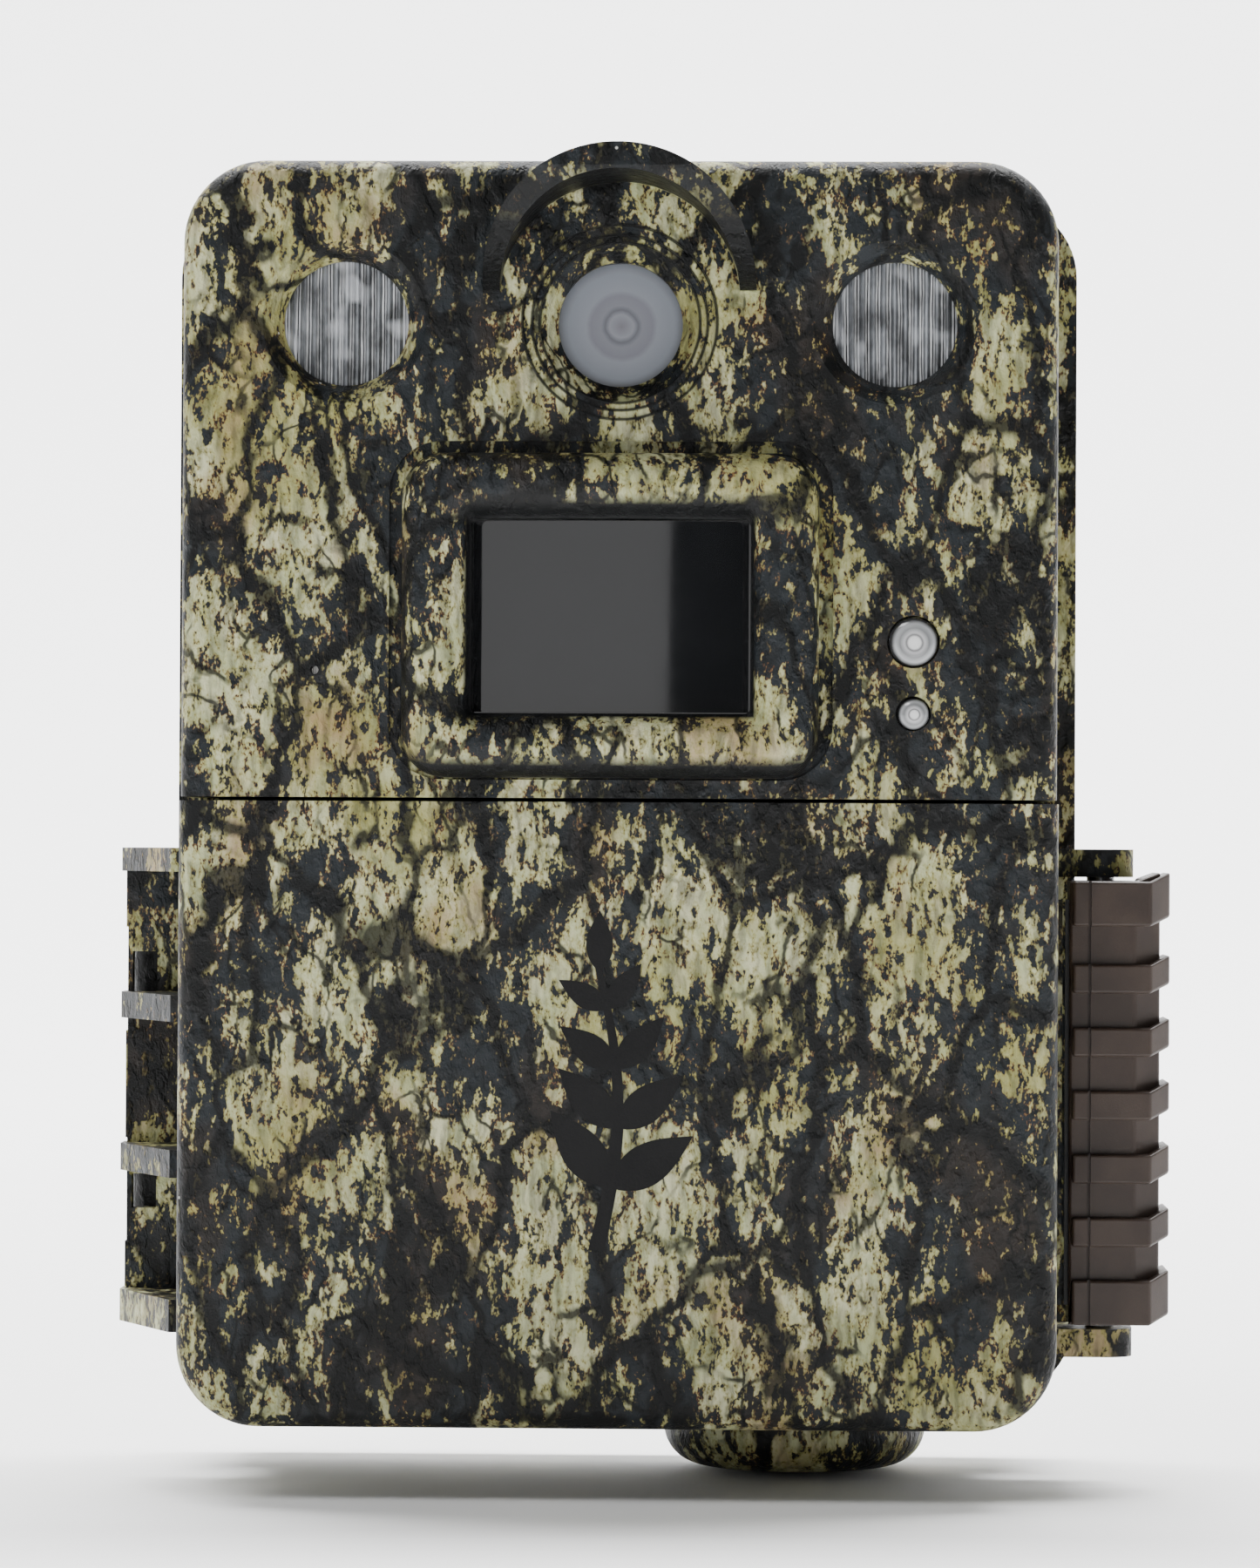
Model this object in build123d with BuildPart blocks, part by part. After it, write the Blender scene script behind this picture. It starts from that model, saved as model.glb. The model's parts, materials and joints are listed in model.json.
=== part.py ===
from build123d import *
import os

# Trail camera: a two-part weatherproof case with a side-hinged lower door.
# Frame: origin at the mouth of the threaded socket in the flat back, +X to the camera's own
# left (right-hand side seen from the front), -Y forward through the lens, +Z up.
# Units are millimetres.

# ---------------------------------------------------------------- driving dimensions
BOTTOM = -78.0            # lower edge of the case
HEIGHT = 132.9
TOP = BOTTOM + HEIGHT
SEAM = BOTTOM + 65.8      # joint line between upper housing and door
SEAM_GAP = 0.4
HALF_W = 46.0             # front housing, door and neck of the rear case
SHOULDER_HALF_W = 49.8    # wider rear part of the case
DEPTH = 48.0              # front face to flat back
FRONT = -DEPTH
SPLIT = FRONT + 20.0      # plane where housing and door meet the rear case
SHOULDER = -13.0          # plane where the rear case widens
DOOR_REST_GAP = 0.3       # door rim to rear case rim
WALL = 2.5
CORNER_R = 8.7
FRONT_EDGE_R = 2.2

LENS_Z = BOTTOM + 115.8
LENS_R = 6.55             # clear aperture of the lens and of both infrared windows
WINDOW_R = 7.35           # glued disc behind each aperture
WINDOW_BORE_R = WINDOW_R + 0.05
IR_X = 28.8
HOOD_Z = BOTTOM + 118.8
HOOD_R = 14.3
HOOD_INNER_Z = BOTTOM + 117.8
HOOD_INNER_R = 12.6
HOOD_REACH = 12.0

PIR_X, PIR_Z = -0.8, BOTTOM + 85.0
PIR_W, PIR_H = 29.2, 20.4           # motion sensor window opening
FRAME_W, FRAME_H = 43.4, 33.8       # rounded bar frame round it
FRAME_PROUD = 5.5
FRAME_EDGE_R = 3.1

STATUS_AT = (30.8, BOTTOM + 82.45)
STATUS_R = 2.75
LIGHT_AT = (30.8, BOTTOM + 74.95)
LIGHT_R = 1.83
MIC_AT = (-31.8, BOTTOM + 79.3)
MIC_R = 0.45

HINGE_AT = (-50.5, SPLIT + 3.0)
HINGE_PIN_R = 1.25
HINGE_LOW, HINGE_HIGH = BOTTOM + 9.7, BOTTOM + 60.6
LEAF_X = -53.3
LEAF_BACK = SPLIT - 0.2
LEAF_T = 1.8
GUSSETS = [(9.7, 3.4), (25.9, 2.9), (42.3, 2.8), (58.1, 2.5)]     # height above bottom, thickness
DOOR_KNUCKLES = [(9.7, 8.3), (29.2, 11.6), (52.0, 8.6)]
CASE_KNUCKLES = [(18.4, 10.4), (41.2, 10.4)]
FIT_GAP = 0.05            # radial running clearance of the pins

LATCH_AT = (52.0, SPLIT + 5.0)
LATCH_PIN_R = 1.5
LATCH_LOW, LATCH_HIGH = BOTTOM + 10.2, BOTTOM + 57.5
LATCH_X = 48.0
EAR_T = 3.0
EAR_GAP = 0.4
EAR_LOW_GAP = 1.1         # the lower ear sits further off the latch
BAND_PROUD = 1.2
BAND_PITCH = 6.75
BAND_T = 3.1
END_BAND_T = 4.8

BOSS_AT = (19.0, -14.5)
BOSS_R = 14.4             # half width; a little less from front to back
BOSS_DROP = 7.0

RAIL_X = 28.5             # strap rails on the back
RAIL_W = 5.0
RAIL_DEPTH = 7.0
STRAP_SLOT = (28.0, 4.8)  # slot height and depth

CELL_R, CELL_L = 7.15, 50.5
CELL_PITCH = 14.5
TRAY_LEFT, TRAY_RIGHT = -42.9, 3.3

PANEL_Y = SPLIT + 1.5     # front face of the inner control panel
PANEL_T = 1.6
PANEL_LEFT, PANEL_RIGHT = 4.6, 43.2
PANEL_MID = (PANEL_LEFT + PANEL_RIGHT) / 2
PAD_Z = BOTTOM + 24.0
BUTTONS = {
    "up_button": (PANEL_MID, PAD_Z + 7.5),
    "down_button": (PANEL_MID, PAD_Z - 7.5),
    "left_button": (PANEL_MID - 8.5, PAD_Z),
    "right_button": (PANEL_MID + 8.5, PAD_Z),
    "enter_button": (PANEL_MID, PAD_Z),
    "mode_button": (PANEL_MID - 13.0, PAD_Z + 7.5),
}
BUTTON_R = 2.8
SWITCH_AT = (PANEL_MID + 13.0, PAD_Z + 7.5)
CARD_AT = (28.5, BOTTOM + 9.0)
CARD_W, CARD_L, CARD_T = 24.0, 32.0, 2.1
LCD_AT = (PANEL_MID, BOTTOM + 46.0)
LCD_W, LCD_H = 28.0, 18.6
SCREW_SPOTS = [(-39.4, -4.4), (39.4, -4.4), (-40.0, 45.4), (40.0, 45.4)]
PANEL_SCREW_SPOTS = [(7.4, -17.6), (38.6, -19.2), (7.4, -72.6), (39.4, -59.0)]
BOARD_Y = -26.0           # front face of the main circuit board
BOARD_T = 1.6


def front_plane(y):
    """Plane facing forward at depth y. Its sketch runs along X and Z, and extrudes towards -Y."""
    return Plane.XZ.offset(-y)


def span(low, high):
    """Middle and length of a stretch."""
    return (low + high) / 2, high - low


os.makedirs("parts", exist_ok=True)


def save(name, piece):
    piece.part.label = name
    export_step(piece.part, f"parts/{name}.step")


# ---------------------------------------------------------------- front housing
UPPER_LOW = SEAM + SEAM_GAP / 2
upper_mid, upper_h = span(UPPER_LOW, TOP)
FRONT_INNER = FRONT + WALL

with BuildPart() as front_housing:
    with BuildSketch(front_plane(SPLIT)) as upper_outline:
        with Locations((0, upper_mid)):
            Rectangle(2 * HALF_W - 0.2, upper_h)
        fillet(upper_outline.vertices().group_by(Axis.Y)[-1], CORNER_R)
    extrude(amount=SPLIT - FRONT)
    face_edges = front_housing.faces().sort_by(Axis.Y)[0].edges()
    fillet(face_edges.group_by(Axis.Z)[1:], FRONT_EDGE_R)
    # hollow
    with BuildSketch(front_plane(SPLIT)) as upper_hollow:
        hollow_mid, hollow_h = span(SEAM + WALL, TOP - WALL)
        with Locations((0, hollow_mid)):
            Rectangle(2 * (HALF_W - WALL), hollow_h)
        fillet(upper_hollow.vertices().group_by(Axis.Y)[-1], CORNER_R - WALL)
    extrude(amount=SPLIT - FRONT_INNER, mode=Mode.SUBTRACT)
    # seats behind the three round windows
    with BuildSketch(front_plane(FRONT_INNER + 3.5)):
        with Locations((0, LENS_Z)):
            Circle(12.0)
    extrude(amount=3.5)
    with BuildSketch(front_plane(FRONT_INNER + 7.5)):
        with Locations((-IR_X, LENS_Z), (IR_X, LENS_Z)):
            Circle(9.6)
    extrude(amount=7.5)
    # seat behind the motion sensor window
    with BuildSketch(front_plane(FRONT_INNER + 2.0)):
        with Locations((PIR_X, PIR_Z)):
            Rectangle(35.0, 27.0)
    extrude(amount=2.0)
    # shallow valley, then the rounded bar frame standing in it
    with BuildSketch(front_plane(FRONT + 0.5)):
        with Locations((PIR_X, PIR_Z + 0.6)):
            RectangleRounded(FRAME_W + 3.0, FRAME_H + 1.6, 5.5)
    extrude(amount=2.0, mode=Mode.SUBTRACT)
    with BuildSketch(front_plane(FRONT + 0.5)):
        with Locations((PIR_X, PIR_Z)):
            RectangleRounded(FRAME_W, FRAME_H, 4.5)
    extrude(amount=FRAME_PROUD + 0.5)
    with BuildSketch(front_plane(FRONT + WALL + 2.0)):
        with Locations((PIR_X, PIR_Z)):
            RectangleRounded(PIR_W, PIR_H, 0.6)
    extrude(amount=FRAME_PROUD + WALL + 2.0, mode=Mode.SUBTRACT)
    fillet(front_housing.faces().sort_by(Axis.Y)[0].edges(), FRAME_EDGE_R)
    with BuildSketch(front_plane(FRONT_INNER + 2.0)):
        with Locations((PIR_X, PIR_Z)):
            Rectangle(PIR_W + 2.4, PIR_H + 2.4)
    extrude(amount=3.3, mode=Mode.SUBTRACT)
    # half-round visor, its reach tapering to nothing at both tips
    with BuildSketch(front_plane(FRONT + 0.5)):
        with Locations((0, HOOD_Z)):
            Circle(HOOD_R)
        with Locations((0, HOOD_INNER_Z)):
            Circle(HOOD_INNER_R, mode=Mode.SUBTRACT)
        with Locations((0, HOOD_Z - HOOD_R)):
            Rectangle(2 * HOOD_R + 2, 2 * HOOD_R, mode=Mode.SUBTRACT)
    extrude(amount=HOOD_REACH + 0.5)
    with BuildSketch(Plane.YZ):
        with BuildLine():
            hood_foot = (FRONT, HOOD_Z)
            hood_tip = (FRONT - HOOD_REACH, HOOD_Z + HOOD_R - 2.4)
            hood_middle = (FRONT - 8.2, HOOD_Z + 5.6)
            beyond = FRONT - HOOD_REACH - 2
            ThreePointArc(hood_foot, hood_middle, hood_tip)
            Polyline(hood_tip, (beyond, HOOD_Z + HOOD_R), (beyond, HOOD_Z - 1), (FRONT, HOOD_Z - 1),
                     hood_foot)
        make_face()
    extrude(amount=HOOD_R + 2, both=True, mode=Mode.SUBTRACT)
    # stepped conical recess round the lens
    with BuildSketch(Plane.YZ):
        with BuildLine():
            profile = [(-1.0, 0.0), (-1.0, 10.2), (0.5, 10.2), (0.5, 9.2), (0.9, 9.2), (0.9, 8.4),
                       (1.3, 8.4), (3.2, LENS_R), (4.0, LENS_R), (4.0, WINDOW_BORE_R),
                       (8.0, WINDOW_BORE_R), (8.0, 0.0)]
            Polyline(*[(FRONT + depth, LENS_Z + radius) for depth, radius in profile], close=True)
        make_face()
    revolve(axis=Axis((0, 0, LENS_Z), (0, 1, 0)), mode=Mode.SUBTRACT)
    # scooped recesses, window seats and bores for the infrared lamps
    for side in (-1, 1):
        with BuildSketch(Plane.YZ.offset(side * IR_X)):
            with BuildLine():
                profile = [(-1.0, 0.0), (-1.0, 9.4), (0.0, 8.6), (1.2, 7.3), (2.4, LENS_R),
                           (3.0, LENS_R), (3.0, WINDOW_BORE_R), (12.0, WINDOW_BORE_R), (12.0, 0.0)]
                Polyline(*[(FRONT + depth, LENS_Z + radius) for depth, radius in profile], close=True)
            make_face()
        revolve(axis=Axis((side * IR_X, 0, LENS_Z), (0, 1, 0)), mode=Mode.SUBTRACT)
    # indicator, light sensor and microphone holes
    for spot, radius in ((STATUS_AT, STATUS_R), (LIGHT_AT, LIGHT_R), (MIC_AT, MIC_R)):
        with BuildSketch(front_plane(FRONT_INNER + 0.5)):
            with Locations(spot):
                Circle(radius)
        extrude(amount=WALL + 2.0, mode=Mode.SUBTRACT)
    # screw posts
    with BuildSketch(front_plane(SPLIT)):
        with Locations(*SCREW_SPOTS):
            Circle(2.8)
    extrude(amount=SPLIT - FRONT_INNER)
    with BuildSketch(front_plane(SPLIT)):
        with Locations(*SCREW_SPOTS):
            Circle(1.35)
    extrude(amount=11.0, mode=Mode.SUBTRACT)
save("front_housing", front_housing)

# ---------------------------------------------------------------- rear case
full_mid, full_h = span(BOTTOM, TOP)
UPPER_BAY = span(SEAM + WALL, TOP - WALL)
LOWER_BAY = span(BOTTOM + WALL, SEAM - WALL)
GROOVE_IN, GROOVE_W, GROOVE_D = 0.7, 1.0, 1.2     # gasket groove in the case rim
BAY_CORNER_R = CORNER_R - WALL
GROOVE_IN_R = BAY_CORNER_R + GROOVE_IN
GROOVE_OUT_R = GROOVE_IN_R + GROOVE_W

with BuildPart() as rear_case:
    with BuildSketch(front_plane(SHOULDER)):
        with Locations((0, full_mid)):
            RectangleRounded(2 * HALF_W, full_h, CORNER_R)
    extrude(amount=SHOULDER - SPLIT)
    with BuildSketch(front_plane(0)):
        with Locations((0, full_mid)):
            RectangleRounded(2 * SHOULDER_HALF_W, full_h, CORNER_R)
    extrude(amount=-SHOULDER)
    fillet(rear_case.faces().sort_by(Axis.Y)[-1].edges(), 4.0)
    # upper and lower bays, with a dividing wall at the seam
    for bay in (UPPER_BAY, LOWER_BAY):
        with BuildSketch(front_plane(-WALL)):
            with Locations((0, bay[0])):
                RectangleRounded(2 * (HALF_W - WALL), bay[1], BAY_CORNER_R)
        extrude(amount=-SPLIT, mode=Mode.SUBTRACT)
        with BuildSketch(front_plane(SPLIT + GROOVE_D)):
            with Locations((0, bay[0])):
                groove_out = 2 * (GROOVE_IN + GROOVE_W)
                groove_in = 2 * GROOVE_IN
                RectangleRounded(2 * (HALF_W - WALL) + groove_out, bay[1] + groove_out, GROOVE_OUT_R)
                RectangleRounded(2 * (HALF_W - WALL) + groove_in, bay[1] + groove_in, GROOVE_IN_R,
                                 mode=Mode.SUBTRACT)
        extrude(amount=GROOVE_D, mode=Mode.SUBTRACT)
    # slot in the dividing wall for the flex cable
    with BuildSketch(Plane.XY.offset(SEAM - WALL - 1)):
        with Locations((26.0, -22.2)):
            Rectangle(14.0, 2.0)
    extrude(amount=2 * WALL + 2, mode=Mode.SUBTRACT)
    # screw posts with deep head bores from the back
    with BuildSketch(front_plane(-WALL)):
        with Locations(*SCREW_SPOTS):
            Circle(3.9)
    extrude(amount=-SPLIT - WALL)
    with BuildSketch(front_plane(0)):
        with Locations(*SCREW_SPOTS):
            Circle(1.35)
    extrude(amount=-SPLIT, mode=Mode.SUBTRACT)
    with BuildSketch(front_plane(0)):
        with Locations(*SCREW_SPOTS):
            Circle(2.7)
    extrude(amount=16.0, mode=Mode.SUBTRACT)
    # posts that carry the control panel
    with BuildSketch(front_plane(-WALL)):
        with Locations(*PANEL_SCREW_SPOTS):
            Circle(2.4)
    extrude(amount=-(PANEL_Y + PANEL_T) - WALL)
    with BuildSketch(front_plane(PANEL_Y + PANEL_T + 8)):
        with Locations(*PANEL_SCREW_SPOTS):
            Circle(1.05)
    extrude(amount=8.0, mode=Mode.SUBTRACT)
    # socket for the threaded insert
    with BuildSketch(front_plane(-WALL)):
        Circle(7.0)
    extrude(amount=7.0)
    with BuildSketch(front_plane(0)):
        Circle(4.55)
    extrude(amount=8.0, mode=Mode.SUBTRACT)
    # strap rails across the back, each with a slot for a flat strap
    rail_mid, rail_h = span(BOTTOM + 18.0, TOP - 14.0)
    with BuildSketch(front_plane(RAIL_DEPTH)):
        with Locations((-RAIL_X, rail_mid), (RAIL_X, rail_mid)):
            RectangleRounded(RAIL_W, rail_h, 2.0)
    extrude(amount=RAIL_DEPTH)
    # biting notches along the outer edge of the rails
    with BuildSketch(Plane.YZ):
        for step in range(-4, 5):
            with Locations((RAIL_DEPTH, step * 11.0 + rail_mid)):
                if abs(step * 11.0 + rail_mid) > STRAP_SLOT[0] / 2:
                    Rectangle(2.6, 2.6, rotation=45)
    extrude(amount=RAIL_X + RAIL_W, both=True, mode=Mode.SUBTRACT)
    with BuildSketch(Plane.YZ):
        with Locations((3.0, 0)):
            Rectangle(STRAP_SLOT[1], STRAP_SLOT[0])
    extrude(amount=RAIL_X + RAIL_W, both=True, mode=Mode.SUBTRACT)
    # base boss with the plug seat and the power jack bore
    with BuildSketch(Plane.XY.offset(BOTTOM + 0.5)):
        with Locations(BOSS_AT):
            Ellipse(BOSS_R, BOSS_R - 0.7)
    extrude(amount=-BOSS_DROP - 0.5)
    fillet(rear_case.faces().sort_by(Axis.Z)[0].edges(), 4.2)
    with BuildSketch(Plane.XY.offset(BOTTOM - BOSS_DROP)):
        with Locations(BOSS_AT):
            Circle(5.6)
    extrude(amount=2.2, mode=Mode.SUBTRACT)
    with BuildSketch(Plane.XY.offset(BOTTOM - BOSS_DROP)):
        with Locations(BOSS_AT):
            Circle(4.3)
    extrude(amount=BOSS_DROP + WALL + 1, mode=Mode.SUBTRACT)
    # hinge knuckles on the neck
    for low, length in CASE_KNUCKLES:
        with BuildSketch(Plane.XY.offset(BOTTOM + low)):
            with Locations(HINGE_AT):
                Circle(2.8)
            with Locations(((HINGE_AT[0] - HALF_W) / 2, HINGE_AT[1])):
                Rectangle(HINGE_AT[0] + HALF_W, 5.0)
        extrude(amount=length)
    with BuildSketch(Plane.XY.offset(HINGE_LOW)):
        with Locations(HINGE_AT):
            Circle(HINGE_PIN_R + FIT_GAP)
    extrude(amount=HINGE_HIGH - HINGE_LOW, mode=Mode.SUBTRACT)
    # latch ears on the neck
    for low in (LATCH_LOW - EAR_LOW_GAP - EAR_T, LATCH_HIGH + EAR_GAP):
        with BuildSketch(Plane.XY.offset(low)) as ear:
            ear_mid, ear_w = span(HALF_W - 0.5, 55.4)
            ear_y, ear_d = span(LATCH_AT[1] - 4.9, LATCH_AT[1] + 3.6)
            with Locations((ear_mid, ear_y)):
                Rectangle(ear_w, ear_d)
            fillet(ear.vertices().group_by(Axis.X)[-1], 2.8)
        extrude(amount=EAR_T)
    with BuildSketch(Plane.XY.offset(LATCH_LOW - 6)):
        with Locations(LATCH_AT):
            Circle(LATCH_PIN_R + FIT_GAP)
    extrude(amount=LATCH_HIGH - LATCH_LOW + 12, mode=Mode.SUBTRACT)
save("rear_case", rear_case)

# gaskets seated in the rim grooves
GASKET_SLACK = 0.05
for name, bay, proud in (("housing_gasket", UPPER_BAY, 0.0), ("door_gasket", LOWER_BAY, 0.15)):
    with BuildPart() as gasket:
        with BuildSketch(front_plane(SPLIT + GROOVE_D - GASKET_SLACK)):
            with Locations((0, bay[0])):
                outer = 2 * (GROOVE_IN + GROOVE_W - GASKET_SLACK)
                inner = 2 * (GROOVE_IN + GASKET_SLACK)
                RectangleRounded(2 * (HALF_W - WALL) + outer, bay[1] + outer,
                                 GROOVE_OUT_R - GASKET_SLACK)
                RectangleRounded(2 * (HALF_W - WALL) + inner, bay[1] + inner, GROOVE_IN_R + GASKET_SLACK,
                                 mode=Mode.SUBTRACT)
        extrude(amount=GROOVE_D - GASKET_SLACK + proud)
    save(name, gasket)

# ---------------------------------------------------------------- door
DOOR_TOP = SEAM - SEAM_GAP / 2
DOOR_BACK = SPLIT - DOOR_REST_GAP
door_mid, door_h = span(BOTTOM, DOOR_TOP)

with BuildPart() as door:
    with BuildSketch(front_plane(DOOR_BACK)) as door_outline:
        with Locations((0, door_mid)):
            Rectangle(2 * HALF_W + 0.2, door_h)
        fillet(door_outline.vertices().group_by(Axis.Y)[0], CORNER_R)
    extrude(amount=DOOR_BACK - FRONT)
    door_edges = door.faces().sort_by(Axis.Y)[0].edges()
    fillet(door_edges.group_by(Axis.Z)[:-1], FRONT_EDGE_R)
    with BuildSketch(front_plane(DOOR_BACK)) as door_hollow:
        low_mid, low_h = span(BOTTOM + WALL, DOOR_TOP - WALL)
        with Locations((0, low_mid)):
            Rectangle(2 * (HALF_W - WALL), low_h)
        fillet(door_hollow.vertices().group_by(Axis.Y)[0], CORNER_R - WALL)
    extrude(amount=DOOR_BACK - FRONT_INNER, mode=Mode.SUBTRACT)
    # stiffening ribs inside the front wall
    for offset_x in (-22.0, 0.0, 22.0):
        with BuildSketch(front_plane(FRONT_INNER)):
            with Locations((offset_x, low_mid)):
                Rectangle(1.4, low_h)
        extrude(amount=-2.0)
    # catch rib on the latch side
    with BuildSketch(Plane.XY.offset(LATCH_LOW + 2)):
        rib_mid, rib_w = span(HALF_W - 0.4, 47.3)
        with Locations((rib_mid, SPLIT - 4.5)):
            Rectangle(rib_w, 1.4)
    extrude(amount=LATCH_HIGH - LATCH_LOW - 4)
    # hinge leaf with gussets
    leaf_mid, leaf_h = span(HINGE_LOW, HINGE_HIGH)
    leaf_x_mid, leaf_w = span(LEAF_X, -HALF_W + 0.5)
    with BuildSketch(front_plane(LEAF_BACK)):
        with Locations((leaf_x_mid, leaf_mid)):
            Rectangle(leaf_w, leaf_h)
    extrude(amount=LEAF_T)
    for low, thickness in GUSSETS:
        with BuildSketch(Plane.XY.offset(BOTTOM + low)):
            with BuildLine():
                Polyline((-HALF_W + 0.5, FRONT + 3.0), (-HALF_W - 1.0, FRONT + 3.0),
                         (LEAF_X - 0.5, LEAF_BACK - LEAF_T - 1.6), (LEAF_X - 0.5, LEAF_BACK),
                         (-HALF_W + 0.5, LEAF_BACK), close=True)
            make_face()
        extrude(amount=thickness)
    # two sight windows through the leaf
    for low, high in ((44.9, 49.4), (21.7, 25.4)):
        window_mid, window_h = span(BOTTOM + low, BOTTOM + high)
        with BuildSketch(front_plane(LEAF_BACK + 1)):
            with Locations((-51.45, window_mid)):
                Rectangle(2.65, window_h)
        extrude(amount=LEAF_T + 2, mode=Mode.SUBTRACT)
    # hinge knuckles behind the leaf
    for low, length in DOOR_KNUCKLES:
        with BuildSketch(Plane.XY.offset(BOTTOM + low)):
            with Locations(HINGE_AT):
                Circle(3.2)
            with Locations((HINGE_AT[0], (HINGE_AT[1] + LEAF_BACK) / 2)):
                Rectangle(6.4, HINGE_AT[1] - LEAF_BACK)
        extrude(amount=length)
    with BuildSketch(Plane.XY.offset(HINGE_LOW)):
        with Locations(HINGE_AT):
            Circle(HINGE_PIN_R + FIT_GAP)
    extrude(amount=HINGE_HIGH - HINGE_LOW, mode=Mode.SUBTRACT)
save("door", door)

with BuildPart() as hinge_pin:
    with BuildSketch(Plane.XY.offset(HINGE_LOW)):
        with Locations(HINGE_AT):
            Circle(HINGE_PIN_R)
    extrude(amount=HINGE_HIGH - HINGE_LOW)
    chamfer(hinge_pin.edges().filter_by(GeomType.CIRCLE), 0.3)
save("hinge_pin", hinge_pin)

# ---------------------------------------------------------------- latch
with BuildPart() as latch_pin:
    with BuildSketch(Plane.XY.offset(LATCH_LOW - EAR_LOW_GAP - EAR_T)):
        with Locations(LATCH_AT):
            Circle(LATCH_PIN_R)
    extrude(amount=LATCH_HIGH - LATCH_LOW + EAR_LOW_GAP + EAR_GAP + 2 * EAR_T)
    chamfer(latch_pin.edges().filter_by(GeomType.CIRCLE), 0.3)
save("latch_pin", latch_pin)

LEVER_FRONT = SPLIT - 5.2
LEVER_BACK = SPLIT + 7.8
LEVER_RIGHT = 55.6
GRIP_FRONT = SPLIT - 6.2
GRIP_RIGHT = 57.8
GRIP_BACK = SPLIT + 7.0
GRIP_FLANK = SPLIT - 4.0    # where the slanted flank meets the side

with BuildPart() as latch_lever:
    with BuildSketch(Plane.XY.offset(LATCH_LOW)) as lever_outline:
        core_mid, core_w = span(LATCH_X + 0.4, LEVER_RIGHT)
        core_y, core_d = span(LEVER_FRONT, LEVER_BACK)
        with Locations((core_mid, core_y)):
            Rectangle(core_w, core_d)
        fillet(lever_outline.vertices().group_by(Axis.Y)[-1], 2.4)
        with Locations(LATCH_AT):
            Circle(LATCH_PIN_R + FIT_GAP, mode=Mode.SUBTRACT)
    extrude(amount=LATCH_HIGH - LATCH_LOW)
    # catch lip that closes over the door's rib
    with BuildSketch(Plane.XY.offset(LATCH_LOW + 2)):
        with Locations((48.1, LEVER_FRONT + 0.3)):
            Rectangle(1.0, 0.6)
    extrude(amount=LATCH_HIGH - LATCH_LOW - 4)
save("latch_lever", latch_lever)

GRIP_EDGE = 55.0            # where the front of the grip turns into its slanted flank
BAND_EDGE = 56.6
BAND_RIGHT = GRIP_RIGHT + 1.0
FLANK_RISE = 1.0            # the flank climbs towards its outer edge
PARTING_X = LATCH_X + 2.1   # thin moulding groove down the front
PARTING_W, PARTING_D = 0.3, 0.5


with BuildPart() as latch_grip:
    grip_h = LATCH_HIGH - LATCH_LOW
    # each course: low, thickness, left, front edge, right, front, flank, back
    body_course = (0.0, grip_h, LATCH_X, GRIP_EDGE, GRIP_RIGHT, GRIP_FRONT, GRIP_FLANK,
                   GRIP_BACK - 3.0)
    band_sizes = (LATCH_X + 0.3, BAND_EDGE, BAND_RIGHT, GRIP_FRONT - BAND_PROUD,
                  GRIP_FLANK - 0.6, GRIP_BACK - 4.0)
    bands = [(0.0, END_BAND_T), (grip_h - END_BAND_T, END_BAND_T)]
    bands += [(END_BAND_T + 3.55 + turn * BAND_PITCH, BAND_T) for turn in range(5)]
    courses = [body_course] + [spot + band_sizes for spot in bands]
    for low, thickness, left, edge, right, front, flank, back in courses:
        # a straight front block
        front_mid, front_w = span(left, edge)
        front_y, front_d = span(front, LEVER_FRONT)
        with BuildSketch(Plane.XY.offset(LATCH_LOW + low)):
            with Locations((front_mid, front_y)):
                Rectangle(front_w, front_d)
        extrude(amount=thickness)
        # a flank that climbs as it goes back
        inner_y, inner_d = span(front, back)
        outer_y, outer_d = span(flank, back)
        course_z = LATCH_LOW + low + thickness / 2
        with BuildSketch(Plane.YZ.offset(edge)):
            with Locations((inner_y, course_z)):
                Rectangle(inner_d, thickness)
        with BuildSketch(Plane.YZ.offset(right)):
            with Locations((outer_y, course_z + FLANK_RISE)):
                Rectangle(outer_d, thickness)
        loft()
    # room for the lever inside
    with BuildSketch(Plane.XY.offset(LATCH_LOW - 1)):
        lever_mid, lever_w = span(LATCH_X - 1, LEVER_RIGHT)
        lever_y, lever_d = span(LEVER_FRONT, LEVER_BACK + 1)
        with Locations((lever_mid, lever_y)):
            Rectangle(lever_w, lever_d)
    extrude(amount=grip_h + 4, mode=Mode.SUBTRACT)
    with BuildSketch(Plane.XY.offset(LATCH_LOW - 1)):
        with Locations((PARTING_X, GRIP_FRONT - BAND_PROUD)):
            Rectangle(PARTING_W, 2 * PARTING_D)
    extrude(amount=grip_h + 4, mode=Mode.SUBTRACT)
    with BuildSketch(Plane.XY.offset(LATCH_LOW - 1)):
        with Locations((PARTING_X, GRIP_FRONT)):
            Rectangle(PARTING_W, 2 * PARTING_D)
    extrude(amount=grip_h + 4, mode=Mode.SUBTRACT)
save("latch_grip", latch_grip)

# ---------------------------------------------------------------- windows and lenses on the front
with BuildPart() as lens_window:
    with BuildSketch(front_plane(FRONT + 5.5)):
        with Locations((0, LENS_Z)):
            Circle(WINDOW_R)
    extrude(amount=1.5)
save("lens_window", lens_window)

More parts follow.
